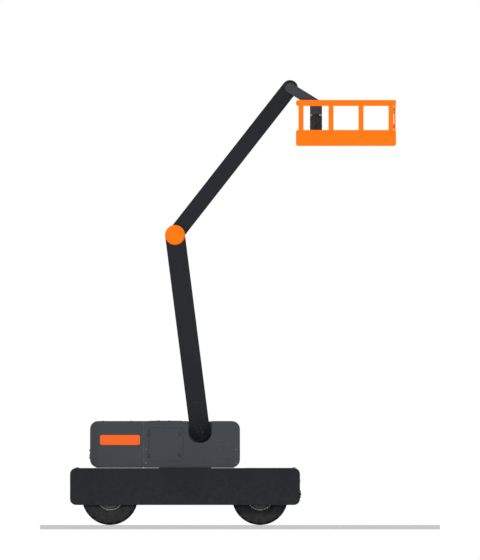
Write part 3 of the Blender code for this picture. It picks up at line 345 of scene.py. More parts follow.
def finish(
    name,
    colour,
    second=None,
    rough=0.45,
    metallic=0.0,
    specular=0.35,
    tone=0.25,
    tone_scale=1.4,
    dust=0.10,
    low_dust=0.0,
    dust_height=1.4,
    wear=0.0,
    wear_colour=(0.25, 0.25, 0.26),
    grain=260.0,
    coarse_share=0.25,
    relief=0.06,
    streaks=None,
):
    """A procedural material from the shared effects, kept by name."""
    kit = effects()
    made = bpy.data.materials.new(name)
    made.use_nodes = True
    base = (*colour, 1)
    made.diffuse_color = base
    tree = made.node_tree
    shader = tree.nodes["Principled BSDF"]
    place = node(tree, "TexCoord").outputs["Object"]
    other = (*(second or (part * SECOND_TONE for part in colour)), 1)
    mottle = kit["mottle"]
    drift = placed(tree, mottle, Vector=place, Colour=base, Second=other, Scale=tone_scale, Amount=tone)
    paint = drift.outputs["Colour"]
    uneven = drift.outputs["Mask"]
    if streaks:
        uneven = placed(tree, kit["streak"], Vector=place, Stretch=streaks).outputs["Mask"]
        paint = blend_colour(tree, maths(tree, "MULTIPLY", uneven, STREAK_SHARE), paint, other)
    if wear:
        worn = placed(tree, kit["edge"], Vector=place, Width=WEAR_WIDTH, Amount=wear).outputs["Mask"]
        paint = blend_colour(tree, worn, paint, (*wear_colour, 1))
    settled = placed(
        tree,
        kit["dust"],
        Vector=place,
        Colour=paint,
        Dust=(*bpy.context.scene.lift_colours.dust, 1),
        Amount=dust,
        Low_Amount=low_dust,
        Height=dust_height,
    )
    gloss = maths(tree, "MULTIPLY", maths(tree, "SUBTRACT", uneven, 0.5), GLOSS_DRIFT)
    gloss = maths(tree, "ADD", gloss, rough)
    dulling = maths(tree, "MULTIPLY", settled.outputs["Mask"], DUST_ROUGHNESS)
    roughness = maths(tree, "ADD", gloss, dulling, clamp=True)
    skin = placed(tree, kit["grain"], Vector=place, Scale=grain, Coarse=COARSE_GRAIN, Share=coarse_share)
    bump = node(tree, "Bump")
    bump.inputs["Strength"].default_value = relief
    bump.inputs["Distance"].default_value = BUMP_DISTANCE
    tree.links.new(skin.outputs["Height"], bump.inputs["Height"])
    slots = ("Base Color", "Roughness", "Normal", "Metallic", "Specular IOR Level")
    values = (settled.outputs["Colour"], roughness, bump.outputs[0], metallic, specular)
    feed(tree, [shader.inputs[label] for label in slots], *values)
    FINISHES[name] = made


def finishes():
    """Every finish by its plain name, made once."""
    if not FINISHES:
        make_paints()
        make_metals_and_plastics()
    return FINISHES


def make_paints():
    """The painted finishes."""
    colours = bpy.context.scene.lift_colours
    dark, grey, orange = tuple(colours.dark), tuple(colours.grey), tuple(colours.orange)
    finish("charcoal_paint", dark, rough=0.5, specular=0.09, dust=0.07, low_dust=0.05, wear=0.3)
    finish("boom_paint", dark, rough=0.48, specular=0.09, dust=0.05, wear=0.35, tone_scale=0.9)
    finish("frame_paint", dark, rough=0.6, specular=0.14, dust=0.15, low_dust=0.2)
    finish("slate_paint", grey, rough=0.46, specular=0.12, dust=0.06, low_dust=0.02, wear=0.25)
    # Rim grey: partly the rims' own light grey paint, partly painted light that brightens them against the
    # shade of the chassis skirt above them.
    finish("rim_paint_and_painted_light", srgb(104, 108, 113), rough=0.46, specular=0.15, dust=0.06, low_dust=0.05, wear=0.25)
    finish(
        "orange_paint",
        orange,
        second=tuple(part * 0.86 for part in orange),
        rough=0.42,
        specular=0.09,
        tone=0.35,
        dust=0.04,
        wear=0.2,
        wear_colour=(0.55, 0.30, 0.12),
    )


def make_metals_and_plastics():
    """Lenses, rubber, metals and plastics."""
    colours = bpy.context.scene.lift_colours
    marker, steel = tuple(colours.marker), tuple(colours.steel)
    finish("marker_lens", marker, rough=0.18, specular=0.25, tone=0.1, grain=60, relief=0.02, dust=0.02)
    finish("lens_ribs", marker, rough=0.15, specular=0.25, tone=0.05, dust=0.0)
    finish(
        "tyre_rubber",
        srgb(37, 38, 41),
        second=srgb(45, 45, 45),
        rough=0.86,
        specular=0.1,
        tone=0.5,
        tone_scale=5,
        dust=0.03,
        low_dust=0.10,
        dust_height=0.9,
        grain=420,
        relief=0.22,
    )
    finish("hose_rubber", srgb(30, 31, 33), rough=0.72, specular=0.2, dust=0.08, grain=520, relief=0.12)
    finish(
        "machined_steel",
        steel,
        second=srgb(112, 114, 118),
        rough=0.34,
        metallic=1.0,
        specular=0.5,
        dust=0.03,
        streaks=(6.0, 140.0, 6.0),
    )
    finish(
        "plated_bolts",
        srgb(128, 128, 130),
        second=srgb(96, 92, 84),
        rough=0.42,
        metallic=0.9,
        specular=0.5,
        tone=0.6,
        tone_scale=20,
        dust=0.05,
    )
    finish("cast_iron", srgb(52, 53, 55), rough=0.7, specular=0.25, grain=180, coarse_share=0.5, relief=0.35)
    finish("dark_plastic", srgb(34, 35, 37), rough=0.55, specular=0.3, dust=0.05, grain=600, relief=0.12)
    finish("grip_tape", srgb(29, 30, 32), rough=0.95, specular=0.08, dust=0.06, grain=900, relief=0.6)
    for name, channels in (
        ("red_plastic", (186, 28, 24)),
        ("amber_plastic", (240, 150, 20)),
        ("green_plastic", (40, 130, 60)),
    ):
        finish(name, srgb(*channels), rough=0.3, specular=0.45, tone=0.1, dust=0.02)
    finish("red_lens", srgb(150, 18, 16), rough=0.15, specular=0.5, tone=0.1, dust=0.04)
    finish("clear_lens", srgb(214, 218, 222), rough=0.12, specular=0.5, tone=0.1, dust=0.03)
    finish("blank_plate", srgb(196, 198, 200), rough=0.4, metallic=0.6, specular=0.4, dust=0.04)


# Mesh building, each adding to a bmesh


def circle(count, radius=1.0, shift=0.0):
    """Pairs evenly round a circle, turned on by a share of a step."""
    turns = [math.tau * (n + shift) / count for n in range(count)]
    return [(radius * math.cos(turn), radius * math.sin(turn)) for turn in turns]


def frame_matrix(start, direction):
    """A matrix whose Z runs from start along the direction."""
    turn = Vector(direction).to_track_quat("Z", "Y").to_matrix().to_4x4()
    return Matrix.Translation(start) @ turn


def boom_place(start, angle):
    """From a boom's own frame, X along it and Z out of its upper face, to the machine's frame."""
    return Matrix.Translation(start) @ Matrix.Rotation(-math.radians(angle), 4, "Y")


def add_box(bm, low, high, matrix=None):
    """A block between two corners, in its own frame if a matrix is given."""
    low, high = Vector(low), Vector(high)
    place = Matrix.Translation((low + high) / 2) @ Matrix.Diagonal((*(high - low), 1))
    bmesh.ops.create_cube(bm, size=1, matrix=(matrix @ place) if matrix else place)


def add_rod(bm, start, end, radius, sides=24, end_radius=None):
    """A cylinder between two points, or a cone with an end radius."""
    start, end = Vector(start), Vector(end)
    run = end - start
    bmesh.ops.create_cone(
        bm,
        cap_ends=True,
        segments=sides,
        radius1=radius,
        radius2=radius if end_radius is None else end_radius,
        depth=run.length,
        matrix=frame_matrix((start + end) / 2, run),
    )


def add_studs(bm, foot, direction, studs):
    """Rods on one axis, each given as from, to, radius, sides and, for a cone, its end radius."""
    foot, direction = Vector(foot), Vector(direction)
    for start, end, *shape in studs:
        add_rod(bm, foot + direction * start, foot + direction * end, *shape)


def add_bolt(bm, foot, direction, radius):
    """A hexagon head on its washer, standing on foot."""
    washer, head = radius * 0.22, radius * 0.97
    add_studs(bm, foot, direction, ((0.0, washer, radius * 1.45, 20), (washer, head, radius, 6)))


def add_lathe(bm, profile, centre, axis, steps=64, closed=False):
    """A profile of (radius, along) points spun round an axis."""
    ring = [bm.verts.new((radius, 0, along)) for radius, along in profile]
    edges = [bm.edges.new(pair) for pair in zip(ring, ring[1:])]
    if closed:
        edges.append(bm.edges.new((ring[-1], ring[0])))
    whole = {"cent": (0, 0, 0), "axis": (0, 0, 1), "angle": math.tau}
    bmesh.ops.spin(bm, geom=ring + edges, steps=steps, use_merge=True, **whole)
    found, stack = set(ring), list(ring)
    while stack:
        for edge in stack.pop().link_edges:
            for vert in edge.verts:
                if vert not in found:
                    found.add(vert)
                    stack.append(vert)
    bmesh.ops.transform(bm, matrix=frame_matrix(centre, axis), verts=list(found))


def bridge(bm, rings):
    """Walls between rings of equally many points."""
    for first, second in zip(rings, rings[1:]):
        count = len(first)
        for k in range(count):
            m = (k + 1) % count
            bm.faces.new((first[k], first[m], second[m], second[k]))


def merge(bm):
    """Joins points that lie together."""
    bmesh.ops.remove_doubles(bm, verts=bm.verts, dist=MERGE_DISTANCE)


def add_tube(bm, path, radius, sides=12, closed=False):
    """A round tube along points, with flat ends."""
    points = [Vector(p) for p in path]
    last = len(points) - 1
    up = None
    rings = []
    for n, point in enumerate(points):
        if closed:
            tangent = points[n + 1 if n < last else 0] - points[n - 1]
        else:
            tangent = points[min(n + 1, last)] - points[max(n - 1, 0)]
        tangent = tangent.normalized()
        if up is None:
            up = tangent.orthogonal().normalized()
        up = (up - tangent * up.dot(tangent)).normalized()
        side = tangent.cross(up)
        rings.append([bm.verts.new(point + (up * a + side * b) * radius) for a, b in circle(sides)])
    if closed:
        bridge(bm, [*rings, rings[0]])
    else:
        bridge(bm, rings)
        bm.faces.new(list(reversed(rings[0])))
        bm.faces.new(rings[-1])


def add_prism(bm, outline, axis, low, high):
    """An outline in the two other axes, extruded along the axis."""
    slot = "XYZ".index(axis)
    rings = []
    for along in (low, high):
        points = [list(spot) for spot in outline]
        for point in points:
            point.insert(slot, along)
        rings.append([bm.verts.new(point) for point in points])
    first, second = rings
    bm.faces.new(first)
    bm.faces.new(list(reversed(second)))
    for n in range(len(first)):
        m = (n + 1) % len(first)
        bm.faces.new((first[n], second[n], second[m], first[m]))


def round_rect(x0, x1, z0, z1, radius, steps=6):
    """The outline of a rectangle with rounded corners."""
    points = []
    for x, z, start in (
        (x0 + radius, z0 + radius, 180),
        (x1 - radius, z0 + radius, 270),
        (x1 - radius, z1 - radius, 0),
        (x0 + radius, z1 - radius, 90),
    ):
        for k in range(steps + 1):
            angle = math.radians(start + 90 * k / steps)
            points.append((x + radius * math.cos(angle), z + radius * math.sin(angle)))
    return points


def smooth_path(points, steps=8):
    """A Catmull-Rom curve through the points."""
    spots = [Vector(p) for p in points]
    spots = [2 * spots[0] - spots[1], *spots, 2 * spots[-1] - spots[-2]]
    path = []
    for n in range(1, len(spots) - 2):
        a, b, c, d = spots[n - 1 : n + 3]
        slope, bend, twist = c - a, 2 * a - 5 * b + 4 * c - d, 3 * b - a - 3 * c + d
        for k in range(steps):
            t = k / steps
            path.append(0.5 * (2 * b + slope * t + bend * t**2 + twist * t**3))
    path.append(spots[-2])
    return path


def mesh_object(name, bm):
    """Turns a bmesh into an object in the scene."""
    bmesh.ops.recalc_face_normals(bm, faces=bm.faces)
    mesh = bpy.data.meshes.new(name)
    bm.to_mesh(mesh)
    bm.free()
    made = bpy.data.objects.new(name, mesh)
    bpy.context.scene.collection.objects.link(made)
    return made


def round_edges(solid, width, segments):
    """Rounds an object's sharp edges with a modifier."""
    rounding = solid.modifiers.new("edge", "BEVEL")
    rounding.width = width
    rounding.segments = segments
    rounding.limit_method = "ANGLE"
    rounding.angle_limit = BEVEL_ANGLE
    rounding.harden_normals = True


def piece(name, bm, body, finish_name, replaces=(), edge=0.0):
    """Turns a bmesh into a named piece that rides on a body."""
    made = mesh_object(name, bm)
    made.data.materials.append(finishes()[finish_name])
    made.data.shade_smooth()
    made.data.set_sharp_from_angle(angle=SHARP)
    if edge:
        round_edges(made, edge, 2)
    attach(made, body)
    if replaces:
        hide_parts(*replaces)


class LIFT_OT_tyres(bpy.types.Operator):
    """Lugged tyres with moulded side walls in place of the plain ones"""

    bl_idname = "lift.tyres"
    bl_label = "Tyres"

    BEAD_GAP = 0.001
    # Side wall: rise above the bead, share of the half width
    WALL = (
        (0.0, 0.74),
        (0.012, 0.80),
        (0.026, 0.83),
        (0.032, 0.90),
        (0.048, 0.92),
        (0.054, 0.90),
        (0.110, 0.985),
        (0.116, 1.0),
        (0.128, 1.0),
        (0.134, 0.985),
        (0.190, 0.985),
        (0.196, 0.995),
        (0.204, 0.995),
        (0.210, 0.98),
    )
    # Crown: drop below the tread's base, share of the half width
    CROWN = ((0.045, 0.965), (0.020, 0.90), (0.002, 0.74), (0.0, 0.5), (-0.001, 0.0))
    # Lug: share of the half width, slant in degrees, half width, drop of its top, drop of its foot
    LUG = (
        (0.04, 0.0, 0.026, 0.004, 0.012),
        (0.34, 3.2, 0.028, 0.0, 0.012),
        (0.62, 6.2, 0.033, 0.001, 0.014),
        (0.84, 8.4, 0.038, 0.010, 0.030),
        (0.965, 9.4, 0.040, 0.040, 0.050),
        (0.985, 9.9, 0.041, 0.085, 0.100),
    )
    LUG_FOOT_SHARE = 1.25
    LUG_TOP_SHARE = 0.86

    def execute(self, context):
        sizes = context.scene.lift_sizes
        for name in WHEELS:
            low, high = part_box("tyre_" + name)
            rim_low, rim_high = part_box("rim_" + name)
            centre = (low + high) / 2
            outer, half = (high.z - low.z) / 2, (high.y - low.y) / 2
            base = outer - sizes.lug_depth
            bead = (rim_high.z - rim_low.z) / 2 + self.BEAD_GAP
            side = [(bead + rise, half * share) for rise, share in self.WALL]
            side += [(base - drop, half * share) for drop, share in self.CROWN]
            profile = [(r, -y) for r, y in side] + [(r, y) for r, y in reversed(side[:-1])]
            tyre = bmesh.new()
            add_lathe(tyre, profile, centre, (0, 1, 0), steps=96, closed=True)
            self.add_lugs(tyre, centre, outer, half, base, sizes.lug_count)
            plain = ("tyre_" + name,)
            piece("tyre_treaded_" + name, tyre, "wheel_" + name, "tyre_rubber", plain)
        return {"FINISHED"}

    def add_lugs(self, bm, centre, outer, half, base, count):
        """Two rows of slanted lugs that widen and wrap over the shoulders."""
        flare, taper = self.LUG_FOOT_SHARE, self.LUG_TOP_SHARE
        for side in (-1, 1):
            for n in range(count):
                start = (n + (0.5 if side > 0 else 0)) * 360 / count
                rings = []
                for share, slant, width, top_drop, foot_drop in self.LUG:
                    y = side * half * share
                    mid = math.radians(start + slant)
                    top, foot = outer - top_drop, base - foot_drop
                    ring = []
                    for radius, spread in ((foot, flare), (top, taper), (top, -taper), (foot, -flare)):
                        angle = mid + width * spread / outer
                        spot = Vector((radius * math.cos(angle), y, radius * math.sin(angle)))
                        ring.append(bm.verts.new(centre + spot))
                    rings.append(ring)
                bridge(bm, rings)
                bm.faces.new(rings[0])
                bm.faces.new(list(reversed(rings[-1])))


class LIFT_OT_wheel_fittings(bpy.types.Operator):
    """Wheel nuts, valves, hub caps and rim beads"""

    bl_idname = "lift.wheel_fittings"
    bl_label = "Wheel fittings"

    DISC_INSET = 0.025
    NUT_COUNT = 10
    NUT_CIRCLE = 0.092
    # Washer, nut and stud: from, to, radius, sides
    NUT = ((0.0, 0.004, 0.016, 20), (0.004, 0.017, 0.012, 6), (0.0, 0.022, 0.006, 12))
    VALVE_AT = Vector((0.20, 0.060, 0.11))
    VALVE_RUN = Vector((0.012, 0.045, 0.006))
    VALVE_RADIUS = 0.005
    # Outlines of the hub cap and the rim's bead: radius, height
    CAP = ((0.0, 0.022), (0.030, 0.021), (0.044, 0.016), (0.049, 0.006), (0.050, 0.0), (0.0, 0.0))
    BEAD = ((0.205, 0.0), (0.203, 0.018), (0.198, 0.022), (0.188, 0.023), (0.182, 0.020), (0.179, 0.0))
    BEAD_AT = 0.066
    STUD_COUNT = 5
    STUD_CIRCLE = 0.155
    STUD_AT = 0.078
    STUD = ((0.0, 0.012, 0.016, 20, 0.013),)

    def execute(self, context):
        for name in WHEELS:
            low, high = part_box("rim_" + name)
            x, y, z = (low + high) / 2
            out = 1 if y > 0 else -1
            axis = (0, out, 0)
            face = y + out * ((high.y - low.y) / 2 - self.DISC_INSET)
            nuts = bmesh.new()
            for a, b in circle(self.NUT_COUNT, self.NUT_CIRCLE):
                add_studs(nuts, (x + a, face, z + b), axis, self.NUT)
            turned = Vector((1, out, 1))
            valve = Vector((x, y, z)) + self.VALVE_AT * turned
            add_rod(nuts, valve, valve + self.VALVE_RUN * turned, self.VALVE_RADIUS, 12)
            piece("wheel_nuts_" + name, nuts, "wheel_" + name, "plated_bolts", edge=NUT_EDGE)
            cap = bmesh.new()
            add_lathe(cap, self.CAP, (x, face, z), axis, steps=40)
            merge(cap)
            piece("hub_cap_" + name, cap, "wheel_" + name, "slate_paint")
            bead = bmesh.new()
            add_lathe(bead, self.BEAD, (x, y + out * self.BEAD_AT, z), axis, steps=72, closed=True)
            for a, b in circle(self.STUD_COUNT, self.STUD_CIRCLE, 0.5):
                add_studs(bead, (x + a, y + out * self.STUD_AT, z + b), axis, self.STUD)
            piece("rim_bead_" + name, bead, "wheel_" + name, "slate_paint")
        return {"FINISHED"}


class LIFT_OT_chassis_fittings(bpy.types.Operator):
    """Grip pads, tie-down rings, reflectors, tow plates and the seam welds of the chassis"""

    bl_idname = "lift.chassis_fittings"
    bl_label = "Chassis fittings"

    PAD_BANDS = ((-1.12, -0.42), (-0.34, 0.34), (0.42, 1.12))
    PAD_REAR_GAP = 0.12
    PAD_FRONT_GAP = 0.20
    PAD_CORNER = 0.05
    PAD_THICK = 0.003
    # Tie-down rings: half length and half width of plate and ring, the plate's thickness, the wire
    RING_PLATE = (0.05, 0.035)
    RING_LOOP = (0.034, 0.022)
    RING_THICK = 0.006
    RING_WIRE = 0.005
    LAMP_Y = 1.06
    LAMP_HALF = 0.075
    LAMP_BAND = (0.98, 1.05)
    TOW_Y = 0.55
    TOW_HALF = 0.06
    TOW_BAND = (0.62, 0.80)
    TOW_BOLTS = (0.645, 0.775)
    TOW_THICK = 0.014
    TOW_EYE = 0.71
    TOW_EYE_RADIUS = 0.028
    SEAM_INSET = 0.035
    SEAM_END = 0.12
    SEAM_DROP = 0.011
    # Welds between the axles' pads and the frame: half length, height, radius
    PAD_HALF = 0.20
    PAD_TOP = 0.779
    PAD_WELD = 0.006

    def execute(self, context):
        low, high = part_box("chassis_shell")
        top = high.z
        pads = bmesh.new()
        x0, x1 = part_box("hood_near")[1].x + self.PAD_REAR_GAP, high.x - self.PAD_FRONT_GAP
        for y0, y1 in self.PAD_BANDS:
            add_prism(pads, round_rect(x0, x1, y0, y1, self.PAD_CORNER), "Z", top, top + self.PAD_THICK)
        piece("deck_grip_pads", pads, "chassis", "grip_tape", edge=FINE_EDGE)

        rings = bmesh.new()
        for x, y in ((low.x + 0.17, 1.10), (high.x - 0.13, 1.15)):
            for side in (-1, 1):
                self.add_ring(rings, x, side * y, top)
        piece("tie_down_rings", rings, "chassis", "plated_bolts")

        lamps = bmesh.new()
        for y in (-self.LAMP_Y, self.LAMP_Y):
            outline = round_rect(y - self.LAMP_HALF, y + self.LAMP_HALF, *self.LAMP_BAND, 0.02)
            add_prism(lamps, outline, "X", high.x - 0.002, high.x + 0.010)
        piece("front_reflectors", lamps, "chassis", "clear_lens", edge=SOFT_EDGE)

        plates = bmesh.new()
        face = high.x + self.TOW_THICK
        z0, z1 = self.TOW_BAND
        for y in (-self.TOW_Y, self.TOW_Y):
            add_box(plates, (high.x - 0.004, y - self.TOW_HALF, z0), (face, y + self.TOW_HALF, z1))
            for z in self.TOW_BOLTS:
                for dy in (-0.04, 0.04):
                    add_bolt(plates, (face, y + dy, z), (1, 0, 0), 0.008)
            eye = [(x, y, self.TOW_EYE) for x in (face - 0.004, face + 0.014)]
            add_rod(plates, *eye, self.TOW_EYE_RADIUS, 24)
        piece("front_tow_plates", plates, "chassis", "charcoal_paint", edge=PART_EDGE)

        seams = bmesh.new()
        z = top - self.SEAM_DROP
        for y in (low.y + self.SEAM_INSET, high.y - self.SEAM_INSET):
            seam = [(low.x + self.SEAM_END, y, z), (high.x - self.SEAM_END, y, z)]
            add_tube(seams, seam, context.scene.lift_sizes.weld_radius, 8)
        for axle in ("rear_axle", "front_axle"):
            rear, front = (corner.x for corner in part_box(axle))
            for x in (rear + 0.005, front - 0.005):
                seam = [(x, y, self.PAD_TOP) for y in (-self.PAD_HALF, self.PAD_HALF)]
                add_tube(seams, seam, self.PAD_WELD, 8)
        piece("frame_weld_beads", seams, "chassis", "frame_paint")
        return {"FINISHED"}

    def add_ring(self, bm, x, y, top):
        """A lashing ring that lies on its bolted plate."""
        (long, wide), face = self.RING_PLATE, top + self.RING_THICK
        add_prism(bm, round_rect(x - long, x + long, y - wide, y + wide, 0.012), "Z", top, face)
        long, wide = self.RING_LOOP
        loop = [(x + long * a, y + wide * b, face + self.RING_THICK) for a, b in circle(24)]
        add_tube(bm, loop, self.RING_WIRE, 8, closed=True)
        for dx in (-0.04, 0.04):
            add_bolt(bm, (x + dx, y, face), (0, 0, 1), 0.006)


class LIFT_OT_underbody_fittings(bpy.types.Operator):
    """Axle bolts, the rear drive casing and the hose run under the deck"""

    bl_idname = "lift.underbody_fittings"
    bl_label = "Underbody fittings"

    BOLT_ROW = (-0.15, -0.05, 0.05, 0.15)
    BOLT_INSET = 0.03
    PAD_UNDERSIDE = 0.719
    # Outline of the drive's casing: radius, place along its shaft
    CASING = (
        (0.0, -0.13),
        (0.10, -0.13),
        (0.14, -0.10),
        (0.155, 0.0),
        (0.14, 0.10),
        (0.10, 0.13),
        (0.0, 0.13),
    )
    CASING_END = 0.13
    COVER_CIRCLE = 0.085
    HOSE_Y = 0.25
    HOSE_PITCH = 0.022
    HOSE_TOP = 0.765
    CLIPS = (0.75, 1.25, 1.75, 2.25)

    def execute(self, context):
        front = middle("front_axle").x
        rear, _, hub = middle("rim_rear_near")
        bolts = bmesh.new()
        for name in ("front_axle", "rear_axle"):
            low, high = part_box(name)
            for x in (low.x + self.BOLT_INSET, high.x - self.BOLT_INSET):
                for y in self.BOLT_ROW:
                    add_bolt(bolts, (x, y, self.PAD_UNDERSIDE), (0, 0, -1), 0.011)
        piece("axle_bolts", bolts, "chassis", "plated_bolts")

        drive = bmesh.new()
        add_lathe(drive, self.CASING, (rear, 0, hub), (1, 0, 0), steps=48)
        merge(drive)
        piece("rear_drive_casing", drive, "chassis", "cast_iron")
        covers = bmesh.new()
        for a, b in circle(12, self.COVER_CIRCLE):
            add_bolt(covers, (rear - self.CASING_END, a, hub + b), (-1, 0, 0), 0.007)
        piece("rear_drive_bolts", covers, "chassis", "plated_bolts")

        hoses = bmesh.new()
        for n in (-1, 0, 1):
            offset = self.HOSE_PITCH * n
            y, z = self.HOSE_Y + offset, self.HOSE_TOP
            path = (
                (rear + self.CASING_END, y * 0.4, 0.66 + offset),
                (rear + 0.35, y * 0.7, 0.70 + offset),
                (rear + 0.60, y, z),
                (rear + 1.4, y, z + 0.001),
                (front - 0.9, y, z + 0.001),
                (front - 0.42, y, z - 0.015),
            )
            add_tube(hoses, smooth_path(path), context.scene.lift_sizes.hose_radius, 10)
        piece("underbody_hoses", hoses, "chassis", "hose_rubber")
        clips = bmesh.new()
        for along in self.CLIPS:
            x, y, z = rear + along, self.HOSE_Y, self.HOSE_TOP
            add_box(clips, (x - 0.02, y - 0.045, z - 0.015), (x + 0.02, y + 0.045, z + 0.015))
        piece("underbody_clamps", clips, "chassis", "dark_plastic", edge=SOFT_EDGE)
        return {"FINISHED"}


class LIFT_OT_hood_fittings(bpy.types.Operator):
    """Louvres, screws, door latches, door stiffeners and marker ribs of the turntable's covers"""

    bl_idname = "lift.hood_fittings"
    bl_label = "Hood fittings"

    SLATS = 7
    SLAT_BOTTOM = 1.56
    SLAT_PITCH = 0.045
    SLAT_X = (-0.36, -0.02)
    # One slat's section: out from the wall, up
    SLAT = ((0.0, -0.012), (0.0, 0.016), (0.010, -0.006), (0.010, -0.012))
    SCREW = ((0.0, 0.004, 0.011, 20),)
    LATCH_INSET = 0.075
    LATCH_SPREAD = 0.24
    STIFFENERS = (0.18, 0.42)
    RIBS = 22
    RIB_PITCH = 0.0395
    RIB_HALF = 0.012

    def execute(self, context):
        for side, name in SIDES:
            wall = side * TURN_HALF
            self.add_wall_fittings(side, name, wall)
            self.add_door_fittings(side, name, wall)
            low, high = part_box("side_marker_" + name)
            face = high.y if side > 0 else low.y
            ribs = bmesh.new()
            for n in range(self.RIBS):
                x = low.x + 0.045 + n * self.RIB_PITCH
                x0, x1, z0, z1 = x - self.RIB_HALF, x + self.RIB_HALF, low.z + 0.02, high.z - 0.02
                outline = [(x0, z0), (x1, z0), (x1, z1), (x0, z1)]
                add_prism(ribs, outline, "Y", *sorted((face - side * SINK, face + side * 0.002)))
            piece("marker_ribs_" + name, ribs, "turntable", "lens_ribs", edge=FINE_EDGE)
        return {"FINISHED"}

    def add_wall_fittings(self, side, name, wall):
        """Louvres and screws of one hood."""
        low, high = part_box("hood_" + name)
        slats = bmesh.new()
        for n in range(self.SLATS):
            z = self.SLAT_BOTTOM + n * self.SLAT_PITCH
            add_prism(slats, [(wall + side * a, z + b) for a, b in self.SLAT], "X", *self.SLAT_X)
        piece("hood_louvres_" + name, slats, "turntable", "slate_paint", edge=PART_EDGE)
        screws = bmesh.new()
        for x in (low.x + 0.05, high.x - 0.09):
            for z in (low.z + 0.10, low.z + 0.42):
                add_studs(screws, (x, wall, z), (0, side, 0), self.SCREW)
        for x in (-1.7, -1.3):
            for y in (side * 0.50, side * 1.03):
                add_studs(screws, (x, y, high.z), (0, 0, 1), self.SCREW)
        piece("hood_screws_" + name, screws, "turntable", "plated_bolts", edge=FINE_EDGE)

    def add_door_fittings(self, side, name, wall):
        """Latches outside and stiffeners inside one hood's door."""
        low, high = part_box("door_" + name)
        latch = bmesh.new()
        x = high.x - self.LATCH_INSET
        for dz in (-self.LATCH_SPREAD, self.LATCH_SPREAD):
            z = (low.z + high.z) / 2 + dz
            outline = round_rect(x - 0.030, x + 0.030, z - 0.045, z + 0.045, 0.014)
            add_prism(latch, outline, "Y", *sorted((wall - side * SINK, wall + side * 0.008)))
            add_rod(latch, (x, wall, z), (x, wall + side * 0.014, z), 0.013, 24)
        piece("door_latches_" + name, latch, "door_" + name, "dark_plastic", edge=PART_EDGE)
        bars = bmesh.new()
        y0, y1 = sorted((wall - side * 0.040, wall - side * 0.024))
        for dx in self.STIFFENERS:
            add_box(bars, (low.x + dx, y0, low.z + 0.06), (low.x + dx + 0.05, y1, high.z - 0.06))
        piece("door_stiffeners_" + name, bars, "door_" + name, "slate_paint", edge=PART_EDGE)


